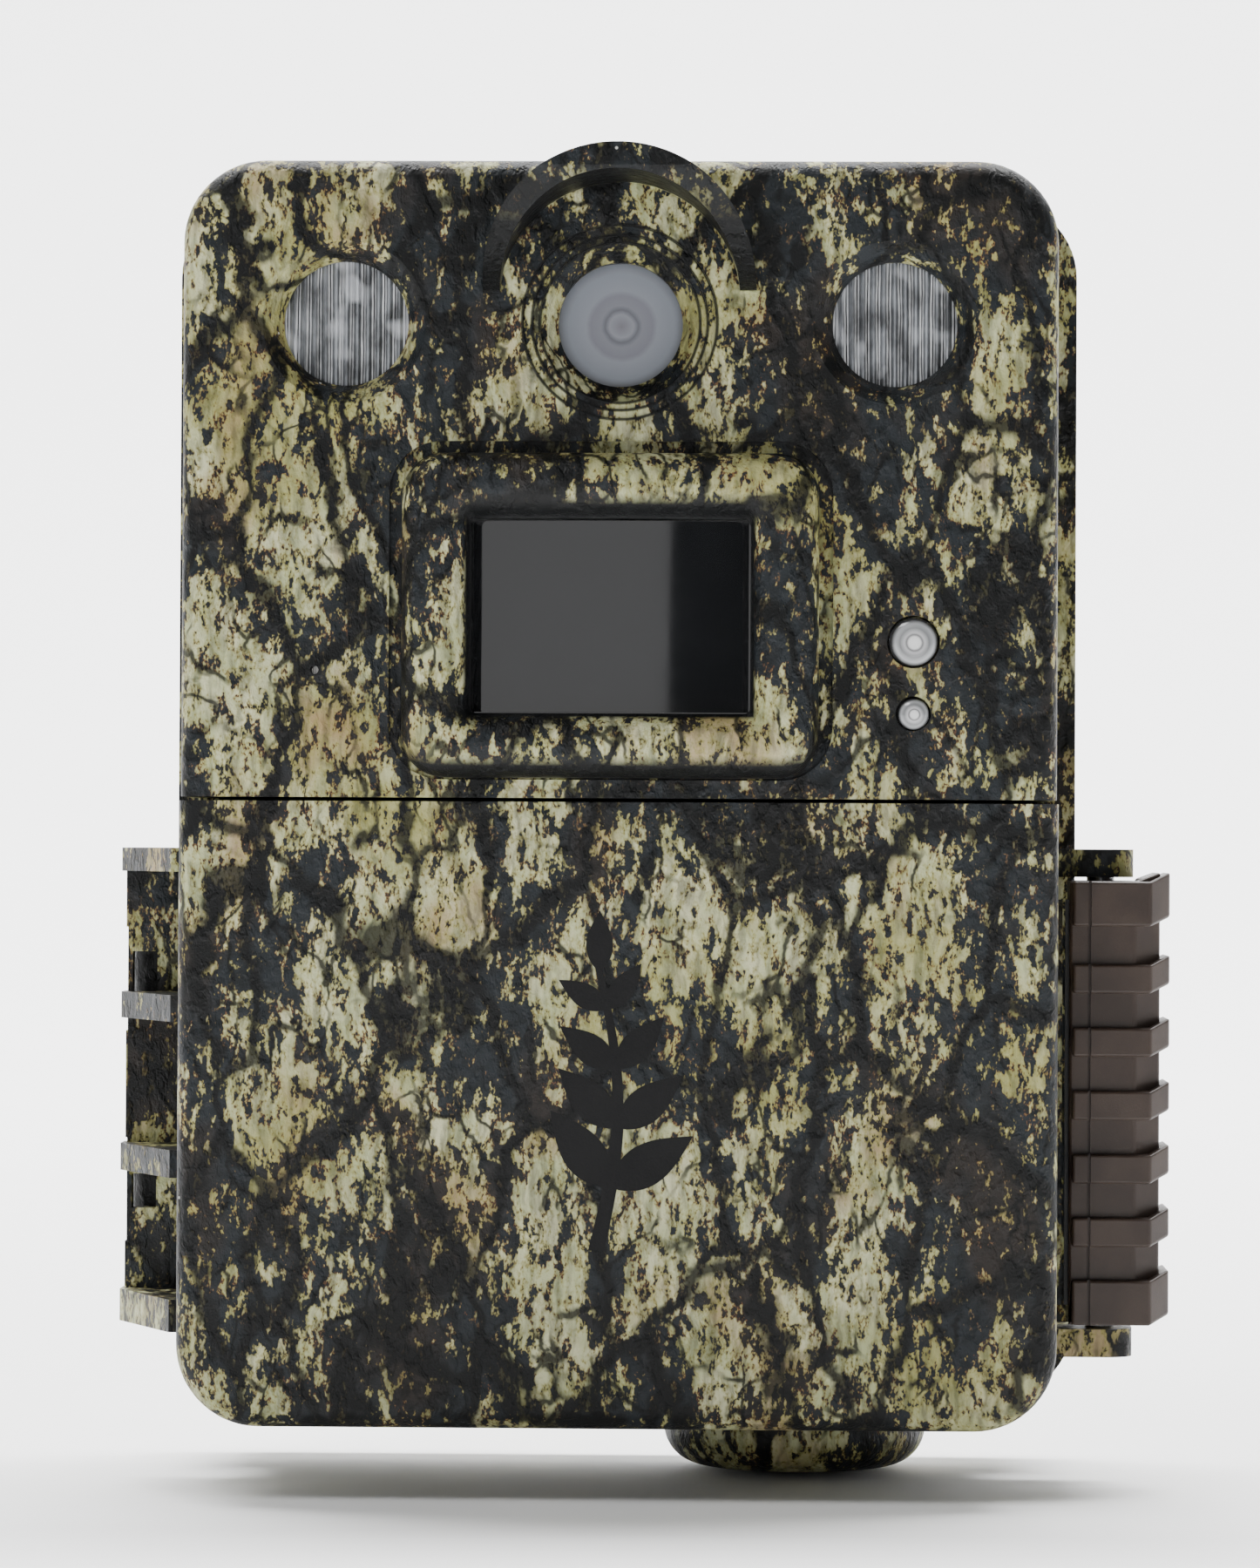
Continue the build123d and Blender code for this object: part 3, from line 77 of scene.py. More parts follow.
# %% The finish helper
class Finish:
    """One procedural material with short calls for its nodes. Sizes are in millimetres."""

    def __init__(self, name):
        self.material = bpy.data.materials.new(name)
        self.material.use_nodes = True
        self.tree = self.material.node_tree
        self.shader = self.tree.nodes["Principled BSDF"]
        place = self.tree.nodes.new("ShaderNodeTexCoord").outputs["Object"]
        self.place = self.vector("SCALE", place, scale=1 / MM)

    def put(self, target, value):
        if isinstance(value, bpy.types.NodeSocket):
            self.tree.links.new(value, target)
        else:
            target.default_value = value

    def vector(self, operation, first, second=None, scale=None):
        node = self.tree.nodes.new("ShaderNodeVectorMath")
        node.operation = operation
        self.put(node.inputs[0], first)
        if second is not None:
            self.put(node.inputs[1], second)
        if scale is not None:
            self.put(node.inputs["Scale"], scale)
        return node.outputs["Vector"]

    def math(self, operation, first, second=0.0, clamp=False):
        node = self.tree.nodes.new("ShaderNodeMath")
        node.operation = operation
        node.use_clamp = clamp
        self.put(node.inputs[0], first)
        self.put(node.inputs[1], second)
        return node.outputs[0]

    def stretch(self, place, factors):
        return self.vector("MULTIPLY", place, factors)

    def axis(self, letter, place=None):
        node = self.tree.nodes.new("ShaderNodeSeparateXYZ")
        self.put(node.inputs[0], self.place if place is None else place)
        return node.outputs[letter]

    def outside(self, centre, half):
        """How far outside a box a point lies, in mm along the worst axis; negative inside."""
        reach = None
        for letter, middle, room in zip("XYZ", centre, half):
            away = self.math("ABSOLUTE", self.math("SUBTRACT", self.axis(letter), middle))
            away = self.math("SUBTRACT", away, room)
            reach = away if reach is None else self.math("MAXIMUM", reach, away)
        return reach

    def off_axis(self, centre_x, centre_z):
        """Distance in mm from a line that runs front to back."""
        across = self.math("POWER", self.math("SUBTRACT", self.axis("X"), centre_x), 2.0)
        up = self.math("POWER", self.math("SUBTRACT", self.axis("Z"), centre_z), 2.0)
        return self.math("SQRT", self.math("ADD", across, up))

    def facing_down(self):
        normal = self.tree.nodes.new("ShaderNodeTexCoord").outputs["Normal"]
        return self.math("MULTIPLY", self.axis("Z", normal), -1.0)

    def noise(self, place, size, detail=4.0, rough=0.55, colour=False):
        node = self.tree.nodes.new("ShaderNodeTexNoise")
        self.put(node.inputs["Vector"], place)
        node.inputs["Scale"].default_value = 1 / size
        node.inputs["Detail"].default_value = detail
        node.inputs["Roughness"].default_value = rough
        return node.outputs["Color" if colour else "Fac"]

    def cells(self, place, size, feature="F1", output="Distance", jitter=1.0):
        node = self.tree.nodes.new("ShaderNodeTexVoronoi")
        node.feature = feature
        self.put(node.inputs["Vector"], place)
        node.inputs["Scale"].default_value = 1 / size
        node.inputs["Randomness"].default_value = jitter
        return node.outputs[output]

    def bend(self, place, size, reach, detail=3.0):
        """Moves the pattern about by up to reach mm, in waves of that size."""
        wave = self.vector("SUBTRACT", self.noise(place, size, detail, colour=True), (0.5, 0.5, 0.5))
        return self.vector("ADD", place, self.vector("SCALE", wave, scale=2 * reach))

    def ramp(self, value, stops, smooth=False):
        node = self.tree.nodes.new("ShaderNodeValToRGB")
        if smooth:
            node.color_ramp.interpolation = "EASE"
        band = node.color_ramp.elements
        while len(band) < len(stops):
            band.new(0.5)
        for mark, (spot, colour) in zip(band, stops):
            mark.position = spot
            mark.color = (colour, colour, colour, 1) if isinstance(colour, float) else (*colour, 1)
        self.put(node.inputs["Fac"], value)
        return node.outputs["Color"]

    def mix(self, share, first, second, blend="MIX"):
        node = self.tree.nodes.new("ShaderNodeMix")
        node.data_type = "RGBA"
        node.blend_type = blend
        colours = [socket for socket in node.inputs if socket.type == "RGBA"]
        self.put(node.inputs["Factor"], share)
        for socket, value in zip(colours, (first, second)):
            self.put(socket, value if isinstance(value, bpy.types.NodeSocket) else (*value, 1))
        return next(socket for socket in node.outputs if socket.type == "RGBA")

    def bump(self, height, depth, under=None):
        """Raises the surface by height times depth mm."""
        node = self.tree.nodes.new("ShaderNodeBump")
        node.inputs["Strength"].default_value = 1.0
        node.inputs["Distance"].default_value = depth * MM
        self.put(node.inputs["Height"], height)
        if under is not None:
            self.put(node.inputs["Normal"], under)
        return node.outputs["Normal"]

    def set(self, **sockets):
        for name, value in sockets.items():
            socket = self.shader.inputs[name.replace("_", " ")]
            if isinstance(value, tuple):
                value = (*value, 1)
            self.put(socket, value)
        return self.material


def srgb(red, green, blue):
    """A colour read off a colour chart, 0 to 255, as the linear light that shaders use."""
    return tuple(((part / 255 + 0.055) / 1.055) ** 2.4 if part > 10 else part / 255 / 12.92
                 for part in (red, green, blue))


print("Finish helper ready")

# %% [markdown]
# The bark print is the camera's whole character. On the real shell it is a film floated onto
# the plastic in a water bath: pale sage plates of bark with stippled, rust-edged rims, split by
# charcoal cracks that run up the trunk. One noise can't do that. Cell borders give the plates
# and cracks, a warp roughens them, and a fine grain noise compared with the distance to the
# rim gives the stipple, dense at the rim and sparse in the middle.

# %% Bark colours and the places the print has to know
CHARCOAL = srgb(30, 34, 37)
SOOT = srgb(7, 8, 8)
SAGE = srgb(164, 168, 128)
CREAM = srgb(188, 187, 152)
LICHEN = srgb(134, 130, 70)
TAN = srgb(146, 118, 84)
RUST = srgb(104, 68, 42)
UMBER = srgb(38, 32, 27)
ASH = srgb(110, 98, 68)
DUST = srgb(190, 190, 184)
BARE_PLASTIC_AND_SHADE = srgb(14, 15, 16)
# the steps around the lens are drawn as painted shadow lines at these radii
LENS_STEP_SHADOW_RADII = (8.4, 9.2, 10.2)     # radii in mm of the steps around the lens


def middle_mm(node):
    """The middle of a CAD node's box, in mm."""
    low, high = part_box(node)
    return [(first + last) / 2 / MM for first, last in zip(low, high)]


lid_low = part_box("door")[0]
front_mm = lid_low[1] / MM
LENS_AT = (middle_mm("lens_window")[0], middle_mm("lens_window")[2])
shell_low = (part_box("front_housing")[0][0] / MM, front_mm, lid_low[2] / MM)
shell_high = (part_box("front_housing")[1][0] / MM, 0.0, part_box("rear_case")[1][2] / MM)
CASE_MIDDLE = [(first + last) / 2 for first, last in zip(shell_low, shell_high)]
CASE_HALF = [(last - first) / 2 for first, last in zip(shell_low, shell_high)]
print("Front face at", round(front_mm, 1), "mm, lens axis at", [round(value, 1) for value in LENS_AT])

# %% [markdown]
# The plates come first, because everything else in the print asks how far it is from a plate's
# rim. A picture of real bark could be wrapped on, but it would need an image and would smear on
# the sides. Cells measured to their borders give a rim everywhere, and the warp keeps their
# straight sides from showing.


# %% Bark plates
def bark_plates(finish):
    """Big and small plates: distance to each rim, raggedness, and 0 at a crack to 1 inside."""
    trunk = finish.bend(finish.place, 18.0, 5.0)
    trunk = finish.bend(trunk, 3.2, 1.1)
    upright = finish.stretch(trunk, (1.0, 1.0, 0.5))
    rim = finish.cells(upright, 11.5, "DISTANCE_TO_EDGE")
    small_rim = finish.cells(upright, 4.4, "DISTANCE_TO_EDGE")
    broad = finish.math("SUBTRACT", finish.noise(upright, 15.0, 2.0), 0.5)
    ragged = finish.noise(upright, 4.6, 5.0, 0.6)
    uneven = finish.math("SUBTRACT", ragged, 0.5)
    depth = finish.math("MULTIPLY", rim, 2.1)
    depth = finish.math("ADD", depth, finish.math("MULTIPLY", broad, 2.4))
    depth = finish.math("ADD", depth, finish.math("MULTIPLY", uneven, 2.2))
    depth = finish.math("ADD", depth, finish.math("MULTIPLY", small_rim, 0.5))
    return rim, small_rim, ragged, finish.ramp(depth, [(0.02, 0.0), (0.62, 1.0)])


def bark_stipple(finish, grain_place, level):
    """Upright flecks, let through more and more towards the middle of a plate."""
    flecks = finish.noise(grain_place, 1.05, 3.5, 0.68)
    fine = finish.noise(finish.stretch(finish.place, (1.0, 1.0, 0.7)), 0.34, 1.0)
    coarse_part = finish.math("MULTIPLY", flecks, 0.8)
    speckle = finish.math("ADD", coarse_part, finish.math("MULTIPLY", fine, 0.2))
    lifted = finish.math("ADD", speckle, finish.math("MULTIPLY", level, 0.155))
    return flecks, speckle, lifted


print("Bark plates and stipple ready")

# %% [markdown]
# Two sets of colours lie under the stipple. The plates are sage and cream, going yellow and
# then rust at every dark fleck, as lichen does. The ground is charcoal with umber showing
# through and soot in the deepest cracks. Slow noises choose between them, so that no two
# plates have the same colour.


# %% Bark colours, pale and dark
def pale_bark(finish, grain_place, warm, lifted):
    """The plate colours, with lichen yellow and then rust towards every dark fleck."""
    cloud = finish.noise(grain_place, 3.0, 3.0)
    drift = finish.noise(finish.place, 24.0, 2.0)
    pale = finish.mix(finish.ramp(cloud, [(0.40, 0.0), (0.62, 1.0)]), SAGE, CREAM)
    pale = finish.mix(finish.ramp(drift, [(0.50, 0.0), (0.64, 0.7)]), pale, LICHEN)
    pale = finish.mix(finish.ramp(warm, [(0.54, 0.0), (0.66, 0.75)]), pale, TAN)
    pale = finish.mix(finish.ramp(lifted, [(0.60, 0.9), (0.70, 0.0)]), pale, LICHEN)
    rust_here = finish.ramp(finish.noise(finish.place, 4.0, 2.0), [(0.42, 0.2), (0.60, 1.0)])
    rusting = finish.ramp(lifted, [(0.598, 1.0), (0.628, 0.0)])
    pale = finish.mix(finish.math("MULTIPLY", rusting, rust_here), pale, RUST)
    streaks = finish.noise(finish.stretch(grain_place, (1.0, 1.0, 0.35)), 0.9, 3.0)
    return finish.mix(1.0, pale, finish.ramp(streaks, [(0.34, 0.5), (0.56, 1.0)]), "MULTIPLY")


def dark_bark(finish, warm, mottle, rim, ragged, speckle):
    """The charcoal ground, with umber and ash showing through and soot in the cracks."""
    ground = finish.mix(finish.ramp(warm, [(0.50, 0.0), (0.62, 0.8)]), CHARCOAL, UMBER)
    ground = finish.mix(finish.ramp(mottle, [(0.36, 0.55), (0.56, 0.0)]), ground, SOOT)
    crack = finish.math("ADD", finish.math("MULTIPLY", rim, 2.0), finish.math("MULTIPLY", ragged, 0.5))
    crack = finish.ramp(crack, [(0.26, 1.0), (0.36, 0.0)])
    ground = finish.mix(finish.math("MULTIPLY", crack, 0.8), ground, SOOT)
    return finish.mix(finish.ramp(speckle, [(0.56, 0.0), (0.62, 0.55)]), ground, ASH)


def open_cracks(finish, colour, rim, small_rim, ragged):
    """Long cracks between plates stay black, and fissures split plates into smaller scales."""
    split = finish.math("ADD", rim, finish.math("MULTIPLY", ragged, 0.06))
    split = finish.ramp(split, [(0.052, 1.0), (0.088, 0.0)])
    colour = finish.mix(finish.math("MULTIPLY", split, 0.9), colour, SOOT)
    fissure = finish.ramp(small_rim, [(0.020, 1.0), (0.060, 0.0)])
    fissure_here = finish.ramp(finish.noise(finish.place, 7.0, 2.0), [(0.46, 0.0), (0.56, 0.9)])
    return finish.mix(finish.math("MULTIPLY", fissure, fissure_here), colour, SOOT)


print("Bark colours ready")

# %% [markdown]
# Film that floats in a water bath doesn't reach everywhere, so the sensor opening and the inside
# of the case stay bare black plastic. The underside of the visor and the hinge nook are painted
# shade, black like the bare plastic, and the steps around the lens and the pinhole of the
# microphone are painted shadow, drawn here as thin dark lines and a dark dot. Each place is a box
# or a circle about a CAD node, so it follows the model.


# %% Where the film stops, and where shade is painted
def in_front_mm(finish):
    """How far a point stands forward of the front face, in mm; negative behind it."""
    return finish.math("SUBTRACT", front_mm, finish.axis("Y"))


def visor_underside_shade(finish):
    """Painted shade mask: faces that look down and stand forward of the front, such as the visor's
    underside.
    """
    proud = finish.ramp(in_front_mm(finish), [(0.3, 0.0), (0.9, 1.0)])
    under = finish.math("MULTIPLY", finish.facing_down(), proud)
    return finish.ramp(under, [(0.25, 0.0), (0.62, 1.0)])


def inside_case(finish):
    """The room within the shell, less the three round windows that the front looks out of."""
    room = finish.outside(CASE_MIDDLE, [half - 2.2 for half in CASE_HALF])
    room = finish.ramp(room, [(0.0, 1.0), (0.15, 0.0)])
    for window in ("lens_window", "ir_window_left", "ir_window_right"):
        centre = middle_mm(window)
        away = finish.math("MULTIPLY", finish.off_axis(centre[0], centre[2]), 0.1)
        room = finish.math("MULTIPLY", room, finish.ramp(away, [(0.86, 0.0), (0.88, 1.0)]))
    return room


def front_painted_shadows(finish):
    """Painted shadow on the front only: dark lines at the steps around the lens and a dark dot at the
    microphone pinhole.
    """
    pinhole = finish.off_axis(middle_mm("microphone")[0], middle_mm("microphone")[2])
    painted_shadows = finish.ramp(pinhole, [(0.50, 1.0), (0.62, 0.0)])
    away = finish.off_axis(*LENS_AT)
    for radius in LENS_STEP_SHADOW_RADII:
        line = finish.math("ABSOLUTE", finish.math("SUBTRACT", away, radius))
        painted_shadows = finish.math("MAXIMUM", painted_shadows, finish.ramp(line, [(0.10, 0.9), (0.24, 0.0)]))
    behind = finish.math("MULTIPLY", in_front_mm(finish), -0.1)
    return finish.math("MULTIPLY", painted_shadows, finish.ramp(behind, [(0.30, 1.0), (0.40, 0.0)]))


def bare_plastic_and_painted_shade(finish):
    """1 at bare plastic where the film doesn't reach and at painted shade, from the sensor sill to the
    hinge nook.
    """
    sill_low, sill_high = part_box("pir_window")
    sill_x = (sill_high[0] - sill_low[0]) / 2 / MM - 0.8
    sill_z = (sill_high[2] - sill_low[2]) / 2 / MM - 0.8
    sill = finish.outside(middle_mm("pir_window"), (sill_x, 9.0, sill_z))
    bare = finish.ramp(sill, [(0.0, 1.0), (0.35, 0.0)])
    # painted shade: black under the visor and the other faces that look down in front
    bare = finish.math("MAXIMUM", bare, visor_underside_shade(finish))
    bare = finish.math("MAXIMUM", bare, inside_case(finish))
    # painted shade: the hinge knuckle seen through the leaf's windows is painted black
    nook = finish.outside(middle_mm("hinge_pin"), (3.6, 2.95, 30.0))
    bare = finish.math("MAXIMUM", bare, finish.ramp(nook, [(0.0, 1.0), (0.10, 0.0)]))
    # painted shadow: the lens step lines and the microphone pinhole
    return finish.math("MAXIMUM", bare, front_painted_shadows(finish))


print("Bare places ready")

# %% [markdown]
# Now the print is put together: plates, stipple, colours, cracks, bare places and a few specks
# of dust. The bump is two heights, a soft bark relief and a fine pebble on top, because the
# real shell is moulded and then sprayed with soft-touch paint.


# %% The bark print
def bark_print():
    """The whole print, as one finish for every camouflaged shell."""
    finish = Finish("bark_print")
    grain_place = finish.stretch(finish.bend(finish.place, 5.0, 0.9), (1.0, 1.0, 0.5))
    rim, small_rim, ragged, level = bark_plates(finish)
    flecks, speckle, lifted = bark_stipple(finish, grain_place, level)
    warm = finish.noise(finish.stretch(finish.place, (1.0, 1.0, 0.6)), 12.0, 3.0)
    mottle = finish.noise(finish.place, 1.6, 3.0)
    pale = pale_bark(finish, grain_place, warm, lifted)
    ground = dark_bark(finish, warm, mottle, rim, ragged, speckle)
    colour = finish.mix(finish.ramp(lifted, [(0.575, 0.0), (0.605, 1.0)]), ground, pale)
    colour = open_cracks(finish, colour, rim, small_rim, ragged)
    # bare black plastic where the film stops, and painted shade under the visor, in the hinge nook and
    # at the lens steps and pinhole
    colour = finish.mix(bare_plastic_and_painted_shade(finish), colour, finish.mix(mottle, SOOT, BARE_PLASTIC_AND_SHADE))

    # a few pale dust specks caught on the soft paint
    specks = finish.ramp(finish.cells(finish.place, 5.0), [(0.026, 0.9), (0.038, 0.0)])
    chosen = finish.cells(finish.place, 5.0, output="Color")
    chosen = finish.ramp(chosen, [(0.60, 0.0), (0.62, 1.0)])
    colour = finish.mix(finish.math("MULTIPLY", specks, chosen), colour, DUST)

    # a moulded bark relief under a fine soft-touch pebble
    relief_place = finish.stretch(finish.bend(finish.place, 2.5, 0.6), (1.0, 1.0, 0.55))
    relief = finish.ramp(finish.noise(relief_place, 1.5, 3.0), [(0.46, 0.0), (0.60, 1.0)])
    normal = finish.bump(relief, 0.10)
    normal = finish.bump(finish.noise(finish.place, 0.24, 2.0), 0.05, normal)
    gloss = finish.ramp(flecks, [(0.3, 0.40), (0.7, 0.54)])
    return finish.set(Base_Color=colour, Roughness=gloss, Normal=normal, Specular_IOR_Level=0.2)


print("Bark print ready")

# %% [markdown]
# The latch and the plug are moulded in brown rubber, and most parts inside are moulded or
# stamped. No such surface is one flat colour: handling polishes the high spots, and the mould
# or the die leaves a fine texture. Two noises, one slow and one fine, give both at once, so one
# function each for moulded and for metal parts covers nearly every small piece.


# %% Rubber, plastic and painted metal
def moulded(name, dark, light, grain=0.35, rough=(0.45, 0.6), depth=0.02, patches=9.0, specular=0.45):
    """A moulded or painted surface: slow colour drift, fine grain in bump and gloss."""
    finish = Finish(name)
    drift = finish.noise(finish.place, patches, 3.0)
    fine = finish.noise(finish.place, grain, 2.0)
    colour = finish.mix(finish.ramp(drift, [(0.38, 0.0), (0.62, 1.0)]), dark, light)
    shade = tuple(0.5 * part for part in dark)
    colour = finish.mix(finish.ramp(fine, [(0.35, 0.22), (0.65, 0.0)]), colour, shade)
    gloss = finish.ramp(fine, [(0.3, rough[0]), (0.7, rough[1])])
    normal = finish.bump(fine, depth)
    return finish.set(Base_Color=colour, Roughness=gloss, Normal=normal, Specular_IOR_Level=specular)


def metal(name, tint, rough=(0.22, 0.4), brushed=(1.0, 1.0, 0.08)):
    """Bare or plated metal: fine brushed lines in the gloss, and a slow dulling stain."""
    finish = Finish(name)
    lines = finish.noise(finish.stretch(finish.place, brushed), 0.12, 3.0)
    stain = finish.noise(finish.place, 3.0, 3.0)
    dull = tuple(0.55 * part for part in tint)
    colour = finish.mix(finish.ramp(stain, [(0.4, 0.0), (0.7, 0.5)]), tint, dull)
    gloss = finish.ramp(lines, [(0.3, rough[0]), (0.7, rough[1])])
    return finish.set(Base_Color=colour, Metallic=1.0, Roughness=gloss, Normal=finish.bump(lines, 0.008))


def latch_rubber():
    return moulded("latch_rubber", srgb(48, 37, 31), srgb(60, 48, 41), grain=0.16, rough=(0.36, 0.5),
                   depth=0.012, patches=6.0, specular=0.3)


print("Moulded and metal finishes ready")

# %% [markdown]
# Clear parts are where a render gives itself away. The lamp covers are fluted clear plastic
# over a bright reflector, and the reflector's streaks are painted on them as painted reflection.
# The lens cover is slightly milky, and the lens behind it is painted on as faint rings of painted
# reflection. The sensor window is a black plastic that passes only infrared, so it reads as a
# dark mirror.


# %% Clear and glossy finishes
PLASTIC_IOR = 1.49     # acrylic


def clear_plastic(name, tint, rough, passing, coat=0.0, haze_size=2.0):
    """Tinted clear plastic or glass with a faint haze."""
    finish = Finish(name)
    haze = finish.noise(finish.place, haze_size, 3.0)
    deeper = tuple(0.82 * part for part in tint)
    colour = finish.mix(finish.ramp(haze, [(0.35, 0.0), (0.7, 0.35)]), tint, deeper)
    gloss = finish.ramp(haze, [(0.3, rough), (0.7, rough + 0.05)])
    return finish.set(Base_Color=colour, Roughness=gloss, Transmission_Weight=passing,
                      IOR=PLASTIC_IOR, Coat_Weight=coat, Coat_Roughness=0.04)


FLUTE = 1.13           # width in mm of one flute of a lamp cover
# painted reflection: the bright and dark streaks seen across one flute
FLUTE_REFLECTION_TONES = [(0.0, srgb(40, 42, 44)), (0.10, srgb(226, 228, 232)), (0.20, srgb(96, 99, 102)),
               (0.45, srgb(158, 162, 168)), (0.70, srgb(84, 87, 90)), (0.86, srgb(236, 238, 240)),
               (0.96, srgb(52, 54, 56))]


def lamp_cover():
    """Fluted clear plastic with painted reflection: bright and dark upright streaks stand for the bright
    reflector drawn out by the flutes.
    """
    finish = Finish("lamp_cover")
    bent = finish.bend(finish.stretch(finish.place, (1.0, 1.0, 0.25)), 2.2, 0.22)
    phase = finish.math("FRACT", finish.math("MULTIPLY", finish.axis("X", bent), 1 / FLUTE))
    # painted reflection repeated across every flute
    flute = finish.ramp(phase, FLUTE_REFLECTION_TONES)
    # the painted reflection is dimmed in slow patches
    patches = finish.noise(finish.stretch(finish.place, (1.0, 0.0, 0.5)), 2.2, 3.0)
    colour = finish.mix(1.0, flute, finish.ramp(patches, [(0.36, 0.30), (0.62, 1.0)]), "MULTIPLY")
    # painted glint: pale patches laid over the streaks
    painted_glint = finish.noise(finish.stretch(finish.place, (1.0, 0.0, 0.7)), 3.4, 1.0)
    colour = finish.mix(finish.ramp(painted_glint, [(0.56, 0.0), (0.66, 0.6)]), colour, srgb(214, 217, 222))
    gloss = finish.ramp(patches, [(0.3, 0.10), (0.7, 0.20)])
    return finish.set(Base_Color=colour, Metallic=0.4, Roughness=gloss, Normal=finish.bump(phase, 0.12),
                      Coat_Weight=0.7, Coat_Roughness=0.03)


def target_glass(name, node, rings, edge, passing, rough):
    """Clear or milky glass with painted rings about its own axis: painted reflection of its inner parts,
    and a painted highlight where the rings are white.
    """
    finish = Finish(name)
    centre = middle_mm(node)
    away = finish.off_axis(centre[0] + 0.1, centre[2] - 0.1)
    haze = finish.noise(finish.place, 1.4, 3.0)
    share = finish.math("DIVIDE", away, edge)
    wobble = finish.math("MULTIPLY", finish.math("SUBTRACT", haze, 0.5), 0.05)
    colour = finish.ramp(finish.math("ADD", share, wobble), rings)
    gloss = finish.ramp(haze, [(0.3, rough), (0.7, rough + 0.06)])
    return finish.set(Base_Color=colour, Roughness=gloss, Transmission_Weight=passing,
                      IOR=PLASTIC_IOR, Coat_Weight=0.6, Coat_Roughness=0.05)


# painted reflection of the lens behind the cover, as rings
LENS_REFLECTION_RINGS = [(0.0, srgb(112, 112, 120)), (0.18, srgb(134, 136, 146)), (0.25, srgb(96, 98, 106)),
              (0.32, srgb(122, 124, 134)), (0.48, srgb(116, 118, 128)), (0.56, srgb(132, 136, 146)),
              (0.82, srgb(124, 130, 140)), (0.97, srgb(92, 96, 104))]
# painted highlight in the white middle of the small domes, with painted rings round it
DOME_HIGHLIGHT_RINGS = [(0.0, srgb(252, 252, 252)), (0.22, srgb(240, 240, 240)), (0.30, srgb(120, 120, 122)),
              (0.38, srgb(196, 196, 198)), (0.55, srgb(130, 132, 134)), (0.72, srgb(178, 180, 182)),
              (0.86, srgb(60, 60, 62))]


def sensor_black():
    """Infrared-passing black plastic: nearly a mirror, with smudges and a slow ripple."""
    finish = Finish("sensor_black")
    smudge = finish.noise(finish.place, 6.0, 4.0)
    colour = finish.mix(smudge, srgb(6, 7, 9), srgb(14, 15, 18))
    gloss = finish.ramp(smudge, [(0.35, 0.05), (0.7, 0.10)])
    ripple = finish.bump(finish.noise(finish.place, 14.0, 1.0), 0.05)
    return finish.set(Base_Color=colour, Roughness=gloss, Normal=ripple, Specular_IOR_Level=1.0)


def screen_glass():
    """A screen that is off: a faint square grid of dots under glass."""
    finish = Finish("screen_glass")
    cells = finish.cells(finish.stretch(finish.place, (1.0, 0.0, 1.0)), 0.3, "F1", jitter=0.0)
    colour = finish.mix(finish.ramp(cells, [(0.3, 0.0), (0.5, 1.0)]), srgb(44, 52, 50), srgb(30, 36, 36))
    gloss = finish.ramp(cells, [(0.2, 0.08), (0.8, 0.14)])
    return finish.set(Base_Color=colour, Roughness=gloss, Coat_Weight=0.6, Coat_Roughness=0.05)


def circuit_green():
    """Solder mask over copper tracks: cell borders that wander a little stand in for tracks."""
    finish = Finish("circuit_green")
    tracks = finish.cells(finish.place, 2.2, "DISTANCE_TO_EDGE", jitter=0.35)
    mask = finish.ramp(tracks, [(0.05, 1.0), (0.09, 0.0)])
    tint = finish.noise(finish.place, 8.0, 2.0)
    colour = finish.mix(tint, srgb(12, 62, 34), srgb(18, 78, 42))
    colour = finish.mix(finish.math("MULTIPLY", mask, 0.6), colour, srgb(48, 120, 66))
    return finish.set(Base_Color=colour, Roughness=finish.ramp(tint, [(0.3, 0.30), (0.7, 0.42)]),
                      Normal=finish.bump(mask, 0.03), Coat_Weight=0.3, Coat_Roughness=0.2)


def cell_wrap():
    """Shrink-wrapped battery: a plain green sleeve with two pale bands, and bare metal ends."""
    finish = Finish("cell_wrap")
    low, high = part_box("aa_cells")
    middle = (low[2] + high[2]) / 2 / MM
    half = (high[2] - low[2]) / 2 / MM
    along = finish.math("ABSOLUTE", finish.math("SUBTRACT", finish.axis("Z"), middle))
    share = finish.math("DIVIDE", along, half)
    fine = finish.noise(finish.place, 0.5, 3.0)
    sleeve = finish.mix(fine, srgb(44, 92, 66), srgb(56, 106, 78))
    from_band = finish.math("ABSOLUTE", finish.math("SUBTRACT", share, 0.78))
    band = finish.ramp(from_band, [(0.045, 1.0), (0.05, 0.0)])
    colour = finish.mix(band, sleeve, srgb(186, 190, 180))
    bare = finish.ramp(share, [(0.965, 0.0), (0.968, 1.0)])
    colour = finish.mix(bare, colour, srgb(170, 168, 162))
    gloss = finish.ramp(fine, [(0.3, 0.28), (0.7, 0.4)])
    return finish.set(Base_Color=colour, Metallic=bare, Roughness=gloss, Coat_Weight=0.3,
                      Coat_Roughness=0.1)


print("Clear and glossy finishes ready")

# %% [markdown]
# The record gives each CAD node a material slot, so one table from slot to finish dresses the
# whole camera, inside and out, and nothing is left in plain grey.

